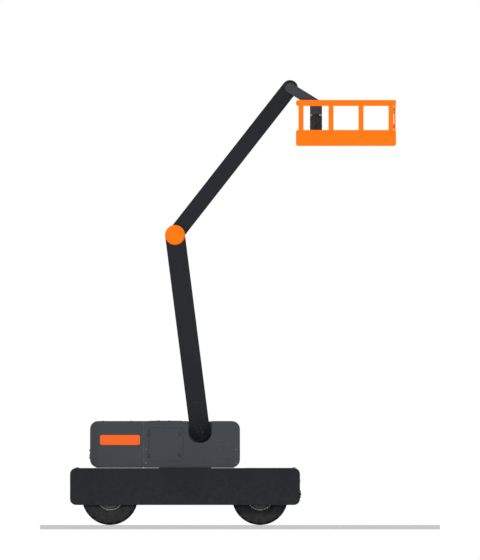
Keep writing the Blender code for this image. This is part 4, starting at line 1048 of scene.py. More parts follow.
class LIFT_OT_turntable_fittings(bpy.types.Operator):
    """Tail lamps and bolts, ground controls, bottom seals, engine dressing and deck blocks"""

    bl_idname = "lift.turntable_fittings"
    bl_label = "Turntable fittings"

    LAMP_Y = 0.78
    LAMP_HALF = 0.09
    LAMP_BAND = (1.55, 1.63)
    SURROUND = 0.015
    PLATE_HALF = 0.16
    PLATE_BAND = (1.58, 1.69)
    TAIL_BOLTS_Y = (-0.56, -0.30, 0.30, 0.56)
    TAIL_BOLTS_Z = (1.72, 1.545)
    LIFT_POINT_Y = 0.75
    # Screwed plug over a lifting point: from, to, radius, sides
    PLUG = ((0.0, 0.005, 0.030, 32), (0.0, 0.009, 0.014, 6))
    PANEL_X = (-0.36, -0.06)
    PANEL_Z = (1.93, 2.10)
    # Buttons of the ground panel: finish, then place along, height, radius and reach of each
    BUTTONS = (
        ("red_plastic", ((-0.32, 2.06, 0.014, 0.022),)),
        ("amber_plastic", ((-0.26, 2.06, 0.008, 0.012),)),
        ("green_plastic", ((-0.20, 2.06, 0.008, 0.012),)),
        (
            "blank_plate",
            ((-0.14, 2.06, 0.010, 0.012), (-0.14, 1.98, 0.010, 0.012), (-0.20, 1.98, 0.010, 0.012)),
        ),
    )
    # Rubber seals under the covers: insets of their two faces, reach down and up
    SEAL_Y = (0.022, 0.006)
    SEAL_DEPTH = 0.0065
    SEAL_TALL = 0.003
    # The valve block's corners over the deck, its row of valves and of hoses
    BLOCK = ((-0.50, 0.215, 0.0), (-0.16, 0.345, 0.11))
    VALVES = 5
    VALVE_FIRST = -0.465
    VALVE_PITCH = 0.068
    VALVE_HALF = Vector((0.022, 0.058, 0.0125))
    VALVE_Y = 0.28
    HOSES = 4
    HOSE_FIRST = -0.445
    HOSE_PITCH = 0.078
    HOSE_LIE = 0.172
    # The electric box and its lid
    BOX_X = (-0.52, -0.14)
    BOX_Y = (-0.36, -0.20)
    BOX_TALL = 0.17
    LID = 0.015
    # Engine: fan hub, rocker covers and cast fins, each count with its first place, pitch and length
    FAN_AT = (0.78, 1.72)
    FAN_RADIUS = 0.11
    COVERS = (4, 0.10, 0.17, 0.12)
    FINS = (9, 0.06, 0.08, 0.02)
    # Coil of a valve and its cap: from, to, radius, sides
    COIL = ((0.13, 0.20, 0.019, 24), (0.20, 0.212, 0.012, 6))
    # Port of a valve: from, to, radius, sides
    PORT = ((0.0, 0.024, 0.016, 6), (0.016, 0.038, 0.013, 20))

    def execute(self, context):
        tail, tail_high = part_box("counterweight")
        self.add_tail(tail.x, tail_high.z)
        self.add_ground_panel()
        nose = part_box("hood_far")[1]
        seals = bmesh.new()
        wall = nose.y - 0.03
        for side in (-1, 1):
            y0, y1 = sorted(side * (wall - inset) for inset in self.SEAL_Y)
            outline = round_rect(y0, y1, tail.z - self.SEAL_DEPTH, tail.z + self.SEAL_TALL, 0.003)
            for x0, x1 in ((tail.x + 0.13, tail_high.x - 0.01), (tail_high.x + 0.01, nose.x - 0.13)):
                add_prism(seals, outline, "X", x0, x1)
        piece("bottom_seals", seals, "turntable", "hose_rubber")
        self.add_valves(context.scene.lift_sizes.hose_radius)
        self.add_electric_box()
        self.add_engine_dressing()
        return {"FINISHED"}

    def add_tail(self, rear, top):
        """Lamps with their surrounds, a blank plate and the counterweight's bolts."""
        lamps, surround, bolts = bmesh.new(), bmesh.new(), bmesh.new()
        inside, rim = rear + 0.002, self.SURROUND
        z0, z1 = self.LAMP_BAND
        for y in (-self.LAMP_Y, self.LAMP_Y):
            y0, y1 = y - self.LAMP_HALF, y + self.LAMP_HALF
            add_prism(lamps, round_rect(y0, y1, z0, z1, 0.018), "X", rear - 0.012, inside)
            outline = round_rect(y0 - rim, y1 + rim, z0 - rim, z1 + rim, 0.024)
            add_prism(surround, outline, "X", rear - 0.006, inside)
        piece("tail_lamps", lamps, "turntable", "red_lens", edge=SOFT_EDGE)
        plate = round_rect(-self.PLATE_HALF, self.PLATE_HALF, *self.PLATE_BAND, 0.01)
        add_prism(surround, plate, "X", rear - 0.004, inside)
        piece("tail_surrounds", surround, "turntable", "dark_plastic", edge=PART_EDGE)
        for y in self.TAIL_BOLTS_Y:
            for z in self.TAIL_BOLTS_Z:
                add_bolt(bolts, (rear, y, z), (-1, 0, 0), 0.020)
        for y in (-self.LIFT_POINT_Y, self.LIFT_POINT_Y):
            for x in (rear + 0.30, rear + 0.95):
                add_studs(bolts, (x, y, top), (0, 0, 1), self.PLUG)
        piece("counterweight_bolts", bolts, "turntable", "plated_bolts", edge=FINE_EDGE)

    def add_ground_panel(self):
        """The ground controls on the far hood."""
        panel = bmesh.new()
        face = TURN_HALF + 0.006
        outline = round_rect(*self.PANEL_X, *self.PANEL_Z, 0.02)
        add_prism(panel, outline, "Y", TURN_HALF - SINK, face)
        piece("ground_panel", panel, "turntable", "dark_plastic", edge=PART_EDGE)
        foot = face - SINK
        for finish_name, spots in self.BUTTONS:
            buttons = bmesh.new()
            for x, z, radius, reach in spots:
                add_rod(buttons, (x, foot, z), (x, foot + reach, z), radius, 24)
            piece("ground_buttons_" + finish_name, buttons, "turntable", finish_name, edge=PART_EDGE)

    def add_valves(self, hose_radius):
        """The valve block, its ports and the hoses that climb the pedestal."""
        block = bmesh.new()
        low, high = (Vector(corner) + Vector((0, 0, DECK)) for corner in self.BLOCK)
        add_box(block, low, high)
        for n in range(self.VALVES):
            x = self.VALVE_FIRST + n * self.VALVE_PITCH
            centre = Vector((x, self.VALVE_Y, high.z + self.VALVE_HALF.z))
            add_box(block, centre - self.VALVE_HALF, centre + self.VALVE_HALF)
            add_studs(block, (x, self.VALVE_Y, DECK), (0, 0, 1), self.COIL)
        piece("valve_block", block, "turntable", "cast_iron", edge=SOFT_EDGE)
        ports, hoses = bmesh.new(), bmesh.new()
        y, z = self.HOSE_LIE, (low.z + high.z) / 2
        for n in range(self.HOSES):
            x, up = self.HOSE_FIRST + n * self.HOSE_PITCH, DECK + 0.02 * n
            add_studs(ports, (x, low.y + SINK, z), (0, -1, 0), self.PORT)
            path = (
                (x, y + 0.018, z),
                (x - 0.01, y + 0.006, up + 0.09),
                (x - 0.16, y, up + 0.22),
                (FOOT.x - 0.02 + 0.03 * n, y, up + 0.36),
                (FOOT.x - 0.03 + 0.03 * n, y - SINK, DECK + 0.45),
            )
            add_tube(hoses, smooth_path(path), hose_radius, 10)
        piece("valve_fittings", ports, "turntable", "plated_bolts")
        piece("valve_hoses", hoses, "turntable", "hose_rubber")
        clamp = bmesh.new()
        add_box(clamp, (FOOT.x - 0.06, 0.154, DECK + 0.40), (FOOT.x + 0.09, 0.188, DECK + 0.43))
        piece("valve_hose_clamp", clamp, "turntable", "dark_plastic", edge=SOFT_EDGE)

    def add_electric_box(self):
        """A lidded box with four screws on the deck."""
        box = bmesh.new()
        seam, lip = DECK + self.BOX_TALL, 0.01
        top = seam + self.LID
        (x0, x1), (y0, y1) = self.BOX_X, self.BOX_Y
        add_prism(box, round_rect(x0, x1, y0, y1, 0.02), "Z", DECK, seam)
        add_prism(box, round_rect(x0 - lip, x1 + lip, y0 - lip, y1 + lip, 0.025), "Z", seam, top)
        for x in (x0 + 0.015, x1 - 0.015):
            for y in (y0 + 0.015, y1 - 0.015):
                add_rod(box, (x, y, top), (x, y, top + 0.005), 0.008, 16)
        piece("electric_box", box, "turntable", "dark_plastic", edge=SOFT_EDGE)

    def add_engine_dressing(self):
        """Rocker covers, cast fins and the fan hub of the engine."""
        low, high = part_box("engine_block")
        dress = bmesh.new()
        count, first, pitch, long = self.COVERS
        for n in range(count):
            x = low.x + first + n * pitch
            add_box(dress, (x, low.y + 0.08, high.z), (x + long, high.y - 0.08, high.z + 0.045))
        count, first, pitch, long = self.FINS
        for n in range(count):
            x = low.x + first + n * pitch
            add_box(dress, (x, high.y, low.z + 0.12), (x + long, high.y + 0.014, high.z - 0.08))
        add_rod(dress, (low.x - 0.05, *self.FAN_AT), (low.x + SINK, *self.FAN_AT), self.FAN_RADIUS, 40)
        piece("engine_dressing", dress, "turntable", "cast_iron", edge=SOFT_EDGE)


class LIFT_OT_hood_tops(bpy.types.Operator):
    """Vent grille on the far hood, flush caps on the near one and the tanks under them"""

    bl_idname = "lift.hood_tops"
    bl_label = "Hood tops"

    VENT_X = (0.14, 0.86)  # from the hood's rear end
    VENT_Y = (0.55, 1.0)
    SLATS = 15
    # One slat's section: along, up
    SLAT = ((-0.018, 0.0), (0.010, 0.0), (0.016, 0.005), (0.010, 0.005))
    FRAME = 0.02
    NECK_Y = -0.86
    NECK_GAP = 0.03
    NECK_RADIUS = 0.036
    COLLAR = 0.02
    COLLAR_RADIUS = 0.05
    # Flush caps: place along, radius
    CAPS = ((-1.72, 0.055), (-1.46, 0.040))
    # Tanks: name, rear end, front end, filler neck, finish, slot
    TANKS = (
        ("oil_tank", -1.95, -1.58, -1.72, "slate_paint", "grey_paint"),
        ("fuel_tank", -1.54, -1.20, -1.46, "dark_plastic", None),
    )
    TANK_FRONT = -1.02
    TANK_BACK = -0.50
    TANK_CORNER = 0.04
    TANK_TOP_GAP = 0.21
    TANK_EDGE = 0.004
    BAND = 0.004
    BAND_WIDTH = 0.035
    HOSES_X = (-1.88, -1.82)
    HOSE_RADIUS = 0.013
    GAUGE_X = -1.64
    GAUGE_ENDS = (1.64, 2.02)
    GAUGE_OUT = 0.012

    def execute(self, context):
        low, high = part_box("hood_far")
        top = high.z
        grille = bmesh.new()
        wide = self.FRAME
        x0, x1 = (low.x + along for along in self.VENT_X)
        y0, y1 = self.VENT_Y
        mid = (x0 + x1) / 2
        for a, b, c, d in (
            (x0 - wide, x0, y0 - wide, y1 + wide),
            (x1, x1 + wide, y0 - wide, y1 + wide),
            (x0, x1, y0 - wide, y0),
            (x0, x1, y1, y1 + wide),
            (mid - wide / 2, mid + wide / 2, y0, y1),
        ):
            add_box(grille, (a, c, top - 0.002), (b, d, top + 0.007))
        for n in range(self.SLATS):
            x = x0 + (n + 0.5) * (x1 - x0) / self.SLATS
            add_prism(grille, [(x + a, top + b) for a, b in self.SLAT], "Y", y0, y1)
        piece("far_hood_vent", grille, "turntable", "dark_plastic", edge=FINE_EDGE)
        caps = bmesh.new()
        y = self.NECK_Y
        for x, radius in self.CAPS:
            profile = [(0.0, 0.009), (radius * 0.8, 0.009), (radius * 0.86, 0.006)]
            profile += [(radius, 0.005), (radius, -SINK), (0.0, -SINK)]
            add_lathe(caps, profile, (x, y, top), (0, 0, 1), steps=48)
            grip = radius * 0.62
            add_box(caps, (x - grip, y - 0.007, top + 0.008), (x + grip, y + 0.007, top + 0.014))
        merge(caps)
        piece("near_hood_caps", caps, "turntable", "dark_plastic", edge=FINE_EDGE)
        self.add_tanks(top)
        return {"FINISHED"}

    def add_tanks(self, hood_top):
        """Oil and fuel tanks, their straps, gauge and hoses, seen when the near door is open."""
        front, back, y = self.TANK_FRONT, self.TANK_BACK, self.NECK_Y
        top = hood_top - self.TANK_TOP_GAP
        straps = bmesh.new()
        for name, x0, x1, neck, finish_name, slot in self.TANKS:
            tank = bmesh.new()
            add_prism(tank, round_rect(x0, x1, front, back, self.TANK_CORNER), "Z", DECK + 0.02, top)
            add_rod(tank, (neck, y, top), (neck, y, hood_top - self.NECK_GAP), self.NECK_RADIUS, 32)
            add_rod(tank, (neck, y, top), (neck, y, top + self.COLLAR), self.COLLAR_RADIUS, 32)
            for a in (x0 + 0.06, x1 - 0.06):
                for b in (front + 0.06, back - 0.06):
                    add_box(tank, (a - 0.02, b - 0.02, DECK), (a + 0.02, b + 0.02, DECK + 0.03))
            piece(name, tank, "turntable", finish_name, edge=self.TANK_EDGE)
        thick = self.BAND
        for z in (DECK + 0.20, top - 0.22):
            for _, x0, x1, *_ in self.TANKS:
                corner = self.TANK_CORNER + thick
                band = round_rect(x0 - thick, x1 + thick, front - thick, back + thick, corner)
                add_prism(straps, band, "Z", z, z + self.BAND_WIDTH)
        x, y = self.GAUGE_X, front - self.GAUGE_OUT
        for z in self.GAUGE_ENDS:
            add_bolt(straps, (x, front, z), (0, -1, 0), 0.009)
            add_rod(straps, (x, y, z - 0.012), (x, y, z + 0.012), 0.011, 20)
        piece("tank_straps", straps, "turntable", "plated_bolts", edge=FINE_EDGE)
        gauge = bmesh.new()
        add_rod(gauge, *((x, y, z) for z in self.GAUGE_ENDS), 0.007, 16)
        piece("oil_gauge", gauge, "turntable", "clear_lens")
        hoses = bmesh.new()
        y = front + 0.09
        for x in self.HOSES_X:
            path = (
                (x, y, top - 0.01),
                (x, y, top + 0.05),
                (x + 0.02, y + 0.10, top + 0.085),
                (x + 0.03, y + 0.28, top + 0.07),
                (x + 0.04, y + 0.44, top - 0.06),
                (x + 0.04, y + 0.46, DECK + 0.30),
                (x + 0.04, y + 0.46, DECK - 0.002),
            )
            add_tube(hoses, smooth_path(path), self.HOSE_RADIUS, 12)
        piece("tank_hoses", hoses, "turntable", "hose_rubber")


class LIFT_OT_boom_fittings(bpy.types.Operator):
    """Hoses, clamps, weld beads, pin keepers and drum bolts of both booms"""

    bl_idname = "lift.boom_fittings"
    bl_label = "Boom fittings"

    HOSES = 3
    HOSE_PITCH = 0.032
    HOSE_STAGGER = 0.05
    KEEPER_RADIUS = 0.095
    KEEPER_AT = 0.212
    KEEPER_BOLT = 0.011
    BOLT_SHARE = 0.62
    # Grease nipple on a keeper: from, to, radius, sides
    NIPPLE = ((0.010, 0.016, 0.010, 6), (0.016, 0.024, 0.005, 12))
    DRUM_CIRCLE = 0.115
    DRUM_FACE = 0.087
    # Each boom: body, pivot, angle, length, half width, end gap and height of the long welds,
    # places of the cross welds from either end, their half height
    BOOMS = (
        ("lower_boom", FOOT, LOWER_ANGLE, LOWER_LENGTH, 0.20, 0.25, 0.224, (0.66, 1.46), 0.215),
        ("upper_boom", ELBOW, UPPER_ANGLE, UPPER_LENGTH, 0.155, 0.2, 0.178, (1.32, 0.42), 0.170),
    )
    # Each boom's hoses: how far out they lie, start, end gap, lowest
    HOSE_RUNS = ((0.214, 0.46, 0.50, -0.05), (0.168, 0.74, 0.36, -0.06))
    # Each boom's clamps: count, first, pitch, foot, low, high
    CLAMP_RUNS = ((6, 0.62, 0.62, 0.199, -0.075, 0.04), (5, 0.98, 0.64, 0.153, -0.085, 0.03))
    CLAMP_HALF = 0.018
    CLAMP_THICK = 0.030
    # Stand-off at both ends of a hose: along, out from the plate
    BEND = ((0.0, 0.012), (0.012, 0.022))
    BEND_END = 0.09

    def execute(self, context):
        sizes = context.scene.lift_sizes
        keepers = bmesh.new()
        for side in (-1, 1):
            self.add_keeper(keepers, FOOT + Vector((0, side * self.KEEPER_AT, 0)), Vector((0, side, 0)))
        piece("foot_pin_keepers", keepers, "lower_boom", "boom_paint", edge=FINE_EDGE)

        for boom, hose_run, clamp_run in zip(self.BOOMS, self.HOSE_RUNS, self.CLAMP_RUNS):
            body, start, angle, length, wall, *welds = boom
            place = boom_place(start, angle)
            self.add_welds(body, place, length, wall, welds, sizes.weld_radius)
            lie, first, end_gap, lowest = hose_run
            self.add_hoses(body, place, wall, lie, first, length - end_gap, lowest, sizes.hose_radius)
            clamps = bmesh.new()
            count, clamp_at, pitch, y, z0, z1 = clamp_run
            for n in range(count):
                x = clamp_at + n * pitch
                low, high = (x - self.CLAMP_HALF, y, z0), (x + self.CLAMP_HALF, y + self.CLAMP_THICK, z1)
                add_box(clamps, low, high, matrix=place)
            piece(body + "_clamps", clamps, body, "dark_plastic", edge=SOFT_EDGE)

        drum = bmesh.new()
        for side in (-1, 1):
            for a, b in circle(8, self.DRUM_CIRCLE):
                foot = ELBOW + Vector((a, side * self.DRUM_FACE, b))
                add_rod(drum, foot, foot + Vector((0, side * 0.006, 0)), 0.008, 6)
        piece("elbow_drum_bolts", drum, "elbow", "plated_bolts")
        return {"FINISHED"}

    def add_keeper(self, bm, centre, out):
        """A round plate over a pin's end with three bolts and a grease nipple."""
        radius = self.KEEPER_RADIUS
        add_rod(bm, centre, centre + out * 0.010, radius, 48, radius * 0.97)
        for n in range(3):
            t = math.radians(90 + 120 * n)
            spoke = Vector((math.cos(t), 0, math.sin(t)))
            add_bolt(bm, centre + out * 0.010 + spoke * radius * self.BOLT_SHARE, out, self.KEEPER_BOLT)
        add_studs(bm, centre, out, self.NIPPLE)

    def add_welds(self, body, place, length, wall, welds, radius):
        """Beads along the four corners and across both sides of a boom."""
        end, level, (near_end, far_end), reach = welds
        beads = bmesh.new()
        for side in (-1, 1):
            for z in (-level, level):
                points = [place @ Vector((x, side * (wall - SINK), z)) for x in (end, length - end)]
                add_tube(beads, points, radius, 8)
            for x in (near_end, length - far_end):
                points = [place @ Vector((x, side * wall, z)) for z in (-reach, reach)]
                add_tube(beads, points, radius, 8)
        piece(body + "_welds", beads, body, "boom_paint")

    def add_hoses(self, body, place, plate, lie, start, end, level, radius):
        """Hoses along a boom's far side, each leaving and entering the plate through a fitting."""
        hoses, fittings = bmesh.new(), bmesh.new()
        for n in range(self.HOSES):
            z = level + n * self.HOSE_PITCH
            first, last = start + self.HOSE_STAGGER * n, end - self.HOSE_STAGGER * n
            spots = [(first + along, plate + out) for along, out in self.BEND]
            spots += [(x, lie) for x in (first + self.BEND_END, (first + last) / 2, last - self.BEND_END)]
            spots += [(last - along, plate + out) for along, out in reversed(self.BEND)]
            add_tube(hoses, smooth_path([place @ Vector((x, y, z)) for x, y in spots]), radius, 10)
            for x in (first, last):
                foot, nut, tip = (place @ Vector((x, plate + out, z)) for out in (-SINK, 0.007, 0.018))
                add_rod(fittings, foot, nut, radius * 1.75, 24)
                add_rod(fittings, nut, tip, radius * 1.45, 6)
        piece(body + "_hoses", hoses, body, "hose_rubber")
        piece(body + "_hose_fittings", fittings, body, "plated_bolts", edge=FINE_EDGE)


class LIFT_OT_cylinder_fittings(bpy.types.Operator):
    """Ports, pipe and gland bolts of the lift cylinder"""

    bl_idname = "lift.cylinder_fittings"
    bl_label = "Cylinder fittings"

    PORTS = (0.10, 0.50)
    PORT = ((0.060, 0.082, 0.015, 6),)
    # Pipe between the ports: along, up
    PIPE = ((0.10, 0.078), (0.13, 0.082), (0.47, 0.082), (0.50, 0.078))
    GLAND_AT = 0.600
    GLAND_CIRCLE = 0.060
    GLAND_BOLT = ((0.0, 0.006, 0.008, 6),)

    def execute(self, context):
        base = pivot("lift_barrel_pivot")
        run = middle("lift_rod") - base
        run = Vector((run.x, 0, run.z)).normalized()
        across = Vector((0, 1, 0))
        up = across.cross(run).normalized()
        if up.z < 0:
            up = -up
        ports = bmesh.new()
        for along in self.PORTS:
            add_studs(ports, base + run * along, up, self.PORT)
        pipe = [base + run * along + up * rise for along, rise in self.PIPE]
        add_tube(ports, smooth_path(pipe), 0.006, 10)
        piece("cylinder_pipe", ports, "lift_barrel", "plated_bolts")
        gland = bmesh.new()
        for a, b in circle(6):
            spot = base + run * self.GLAND_AT + (up * a + across * b) * self.GLAND_CIRCLE
            add_studs(gland, spot, run, self.GLAND_BOLT)
        piece("cylinder_gland_bolts", gland, "lift_barrel", "plated_bolts")
        return {"FINISHED"}


class LIFT_OT_elbow_fittings(bpy.types.Operator):
    """Rings and bolt circles on the round elbow caps"""

    bl_idname = "lift.elbow_fittings"
    bl_label = "Elbow fittings"

    # Outline of the raised rings: radius, height
    RINGS = (
        (0.192, 0.0),
        (0.188, 0.003),
        (0.165, 0.004),
        (0.160, 0.0005),
        (0.075, 0.0005),
        (0.071, 0.005),
        (0.060, 0.006),
        (0.0, 0.006),
    )
    BOLT_CIRCLE = 0.128
    BOLT_RADIUS = 0.010

    def execute(self, context):
        for side, name in SIDES:
            low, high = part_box("elbow_cap_" + name)
            face = high.y if side > 0 else low.y
            rings, bolts = bmesh.new(), bmesh.new()
            add_lathe(rings, self.RINGS, (ELBOW.x, face, ELBOW.z), (0, side, 0), steps=96)
            merge(rings)
            bmesh.ops.edgeloop_fill(rings, edges=[edge for edge in rings.edges if edge.is_boundary])
            piece("elbow_cap_rings_" + name, rings, "elbow", "orange_paint")
            for a, b in circle(8, self.BOLT_CIRCLE, 0.5):
                add_bolt(bolts, (ELBOW.x + a, face, ELBOW.z + b), (0, side, 0), self.BOLT_RADIUS)
            piece("elbow_cap_bolts_" + name, bolts, "elbow", "orange_paint")
        return {"FINISHED"}


class LIFT_OT_jib_fittings(bpy.types.Operator):
    """Pin keepers, tube welds and bolts of the jib and the platform's head and post"""

    bl_idname = "lift.jib_fittings"
    bl_label = "Jib fittings"

    KEEPERS = ((TIP, 0.060), (POST, 0.055))
    ARM_FACE = 0.205
    PLATE = 0.008
    TUBE_AT = 0.36
    TUBE_SEAM = 0.053
    HEAD_FACE = 0.125
    POST_FACE = 0.138
    BOLT_RADIUS = 0.009

    def execute(self, context):
        keepers, beads = bmesh.new(), bmesh.new()
        place = boom_place(TIP, JIB_ANGLE)
        for centre, radius in self.KEEPERS:
            for side in (-1, 1):
                out = Vector((0, side, 0))
                foot = centre + out * self.ARM_FACE
                add_rod(keepers, foot, foot + out * self.PLATE, radius, 40)
                for turn in (90, 270):
                    t = math.radians(JIB_ANGLE + turn)
                    spot = foot + out * self.PLATE + Vector((math.cos(t), 0, math.sin(t))) * radius * 0.62
                    add_rod(keepers, spot, spot + out * self.PLATE, self.BOLT_RADIUS, 6)
        piece("jib_pin_keepers", keepers, "jib", "slate_paint", edge=FINE_EDGE)
        for side in (-1, 1):
            seam = [Vector((self.TUBE_AT + a, side * 0.168, b)) for a, b in circle(28, self.TUBE_SEAM)]
            add_tube(beads, [place @ spot for spot in seam], 0.005, 8, closed=True)
        piece("jib_tube_welds", beads, "jib", "slate_paint")

        head, post = bmesh.new(), bmesh.new()
        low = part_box("platform_head")[0].z
        for side in (-1, 1):
            for n in range(4):
                x = POST.x - 0.09 + 0.06 * n
                add_bolt(head, (x, side * self.HEAD_FACE, low + 0.035), (0, side, 0), self.BOLT_RADIUS)
            for n in range(3):
                z = low - 0.108 - 0.16 * n
                add_bolt(post, (POST.x + side * self.POST_FACE, -0.05, z), (side, 0, 0), self.BOLT_RADIUS)
        piece("head_bolts", head, "head", "plated_bolts")
        piece("post_bolts", post, "platform", "plated_bolts")
        return {"FINISHED"}


class LIFT_OT_platform_fittings(bpy.types.Operator):
    """Floor tread, rail welds, harness anchors, pedal, manual holder, console cable and gate latch"""

    bl_idname = "lift.platform_fittings"
    bl_label = "Platform fittings"

    TREAD_PITCH = 0.062
    TREAD_INSET = 0.075
    # One raised tear of the chequered floor: half length, half width, height
    TEAR = (0.018, 0.0055, 0.003)
    RAIL_DEPTH = 0.138  # of the top rail
    RAIL_WALL = 0.035
    POSTS = 4
    POST_FIRST = 0.115
    POST_PITCH = 0.69
    POST_HALF = 0.0575
    ANCHORS = (0.45, 1.15, 1.85)
    ANCHOR_HALF = 0.03
    ANCHOR_BAND = (0.03, 0.09)  # over the top rail's underside
    ANCHOR_LOOP = (0.022, 0.026)
    ANCHOR_WIRE = 0.006
    PEDAL_AT = (0.62, 0.20)
    PEDAL_BASE = (0.10, 0.07)
    PEDAL_HALF = 0.055
    # The pedal's section: across, height; half of its hoop: along, across, height
    PEDAL = ((-0.055, 0.012), (0.055, 0.012), (0.055, 0.050), (-0.055, 0.026))
    HOOP = ((0.085, -0.01, 0.008), (0.085, 0.0, 0.085), (0.06, 0.0, 0.105))
    HOLDER_X = (0.95, 1.27)
    # Box and lid of the manual holder: overhang, bottom, top, corner, depth
    HOLDER = ((0.0, 0.03, 0.20, 0.02, 0.045), (0.01, 0.185, 0.215, 0.012, 0.051))

    def execute(self, context):
        low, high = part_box("platform_tray")
        floor = pivot("gate_hinge").z
        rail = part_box("guard_rail")[1].z - self.RAIL_DEPTH
        self.add_tread(low, high, floor)
        self.add_rail_welds(low, high, rail, context.scene.lift_sizes.weld_radius * 0.8)
        self.add_anchors(low, rail)
        self.add_pedal(low.x + self.PEDAL_AT[0], high.y - self.PEDAL_AT[1], floor)
        self.add_holder(low.x, high.y - self.RAIL_WALL, floor)
        self.add_cable(high, floor)
        gate_low, gate_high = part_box("platform_gate")
        latch = bmesh.new()
        x, y, z = gate_high.x, gate_low.y, rail - 0.14
        add_box(latch, (x - 0.060, y + 0.006, z - 0.04), (x - 0.037, y + 0.045, z + 0.04))
        add_rod(latch, (x - 0.075, y + 0.025, z), (x - 0.055, y + 0.025, z), 0.014, 20)
        piece("gate_latch", latch, "gate", "plated_bolts", edge=PART_EDGE)
        return {"FINISHED"}

    def add_tread(self, low, high, floor):
        """Rows of raised tears, turned one way and the other."""
        tread = bmesh.new()
        pitch, inset = self.TREAD_PITCH, self.TREAD_INSET
        x, row = low.x + inset, 0
        while x < high.x - inset - 0.01:
            y = low.y + inset + (row % 2) * pitch / 2
            turn = Matrix.Rotation(math.radians(45 if row % 2 else -45), 4, "Z")
            while y < high.y - inset:
                self.add_tear(tread, Matrix.Translation((x, y, floor)) @ turn)
                y += pitch
            x += pitch / 2
            row += 1
        piece("platform_floor_tread", tread, "platform", "orange_paint")

    def add_tear(self, bm, place):
        """One raised tear of the chequered floor."""
        long, wide, tall = self.TEAR
        outline = [(a * long, b * wide) for a, b in circle(10)]
        ring = [bm.verts.new(place @ Vector((a, b, 0.0))) for a, b in outline]
        top = [bm.verts.new(place @ Vector((a * 0.7, b * 0.6, tall))) for a, b in outline]
        bridge(bm, (ring, top))
        bm.faces.new(top)
        bm.faces.new(list(reversed(ring)))

    def add_rail_welds(self, low, high, rail, radius):
        """Beads round the posts, under the rail and on the kick band."""
        welds = bmesh.new()
        wall = self.RAIL_WALL
        for n in range(self.POSTS):
            x = low.x + self.POST_FIRST + n * self.POST_PITCH
            x0, x1 = x - self.POST_HALF, x + self.POST_HALF
            for y in (low.y, high.y - wall):
                for z in (rail, high.z + SINK):
                    loop = [(x0, y, z), (x1, y, z), (x1, y + wall, z), (x0, y + wall, z)]
                    add_tube(welds, loop, radius, 6, closed=True)
        piece("rail_weld_beads", welds, "platform", "orange_paint")

    def add_anchors(self, low, rail):
        """Plates with a ring for the harness, inside the near rail."""
        anchors = bmesh.new()
        y, half = low.y + 0.05, self.ANCHOR_HALF
        z0, z1 = (rail + over for over in self.ANCHOR_BAND)
        wide, tall = self.ANCHOR_LOOP
        for along in self.ANCHORS:
            x = low.x + along
            add_box(anchors, (x - half, y - SINK, z0), (x + half, y + 0.008, z1))
            loop = [(x + wide * a, y + 0.014, rail + 0.055 + tall * b) for a, b in circle(24)]
            add_tube(anchors, loop, self.ANCHOR_WIRE, 8, closed=True)
        piece("harness_anchors", anchors, "platform", "plated_bolts", edge=FINE_EDGE)

    def add_pedal(self, x, y, floor):
        """A sloped foot switch under its guard hoop."""
        pedal = bmesh.new()
        long, wide = self.PEDAL_BASE
        outline = round_rect(x - long, x + long, y - wide, y + wide, 0.015)
        add_prism(pedal, outline, "Z", floor, floor + 0.010)
        half = self.PEDAL_HALF
        add_prism(pedal, [(y + a, floor + b) for a, b in self.PEDAL], "X", x - half, x + half)
        hoop = [(x - a, y + b, floor + c) for a, b, c in self.HOOP]
        hoop += [(x + a, y + b, floor + c) for a, b, c in reversed(self.HOOP)]
        add_tube(pedal, smooth_path(hoop, 5), 0.007, 10)
        piece("foot_pedal", pedal, "platform", "dark_plastic", edge=PART_EDGE)

    def add_holder(self, rear, inner, floor):
        """A lidded box for the manual, on the inside of the far kick band."""
        holder = bmesh.new()
        x0, x1 = (rear + along for along in self.HOLDER_X)
        for over, z0, z1, corner, depth in self.HOLDER:
            outline = round_rect(x0 - over, x1 + over, floor + z0, floor + z1, corner)
            add_prism(holder, outline, "Y", inner - depth, inner + SINK)
        for x in (x0 + 0.06, x1 - 0.06):
            low, high = (x - 0.012, inner - 0.058, floor + 0.15), (x + 0.012, inner - 0.050, floor + 0.20)
            add_box(holder, low, high)
        piece("manual_holder", holder, "platform", "dark_plastic", edge=PART_EDGE)

    def add_cable(self, high, floor):
        """The cable from the console down the inside of the kick band to the floor."""
        cable = bmesh.new()
        c_low, c_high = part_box("control_console")
        path = (
            (c_low.x + 0.05, c_high.y - 0.04, c_low.z + 0.01),
            (c_low.x + 0.05, c_high.y - 0.04, c_low.z - 0.08),
            (POST.x + 0.02, high.y - 0.045, c_low.z - 0.20),
            (POST.x, high.y - 0.044, high.z + 0.04),
            (POST.x, high.y - 0.046, high.z - 0.10),
            (POST.x, high.y - 0.046, floor + 0.02),
        )
        add_tube(cable, smooth_path(path), 0.010, 10)
        piece("console_cable", cable, "platform", "hose_rubber")


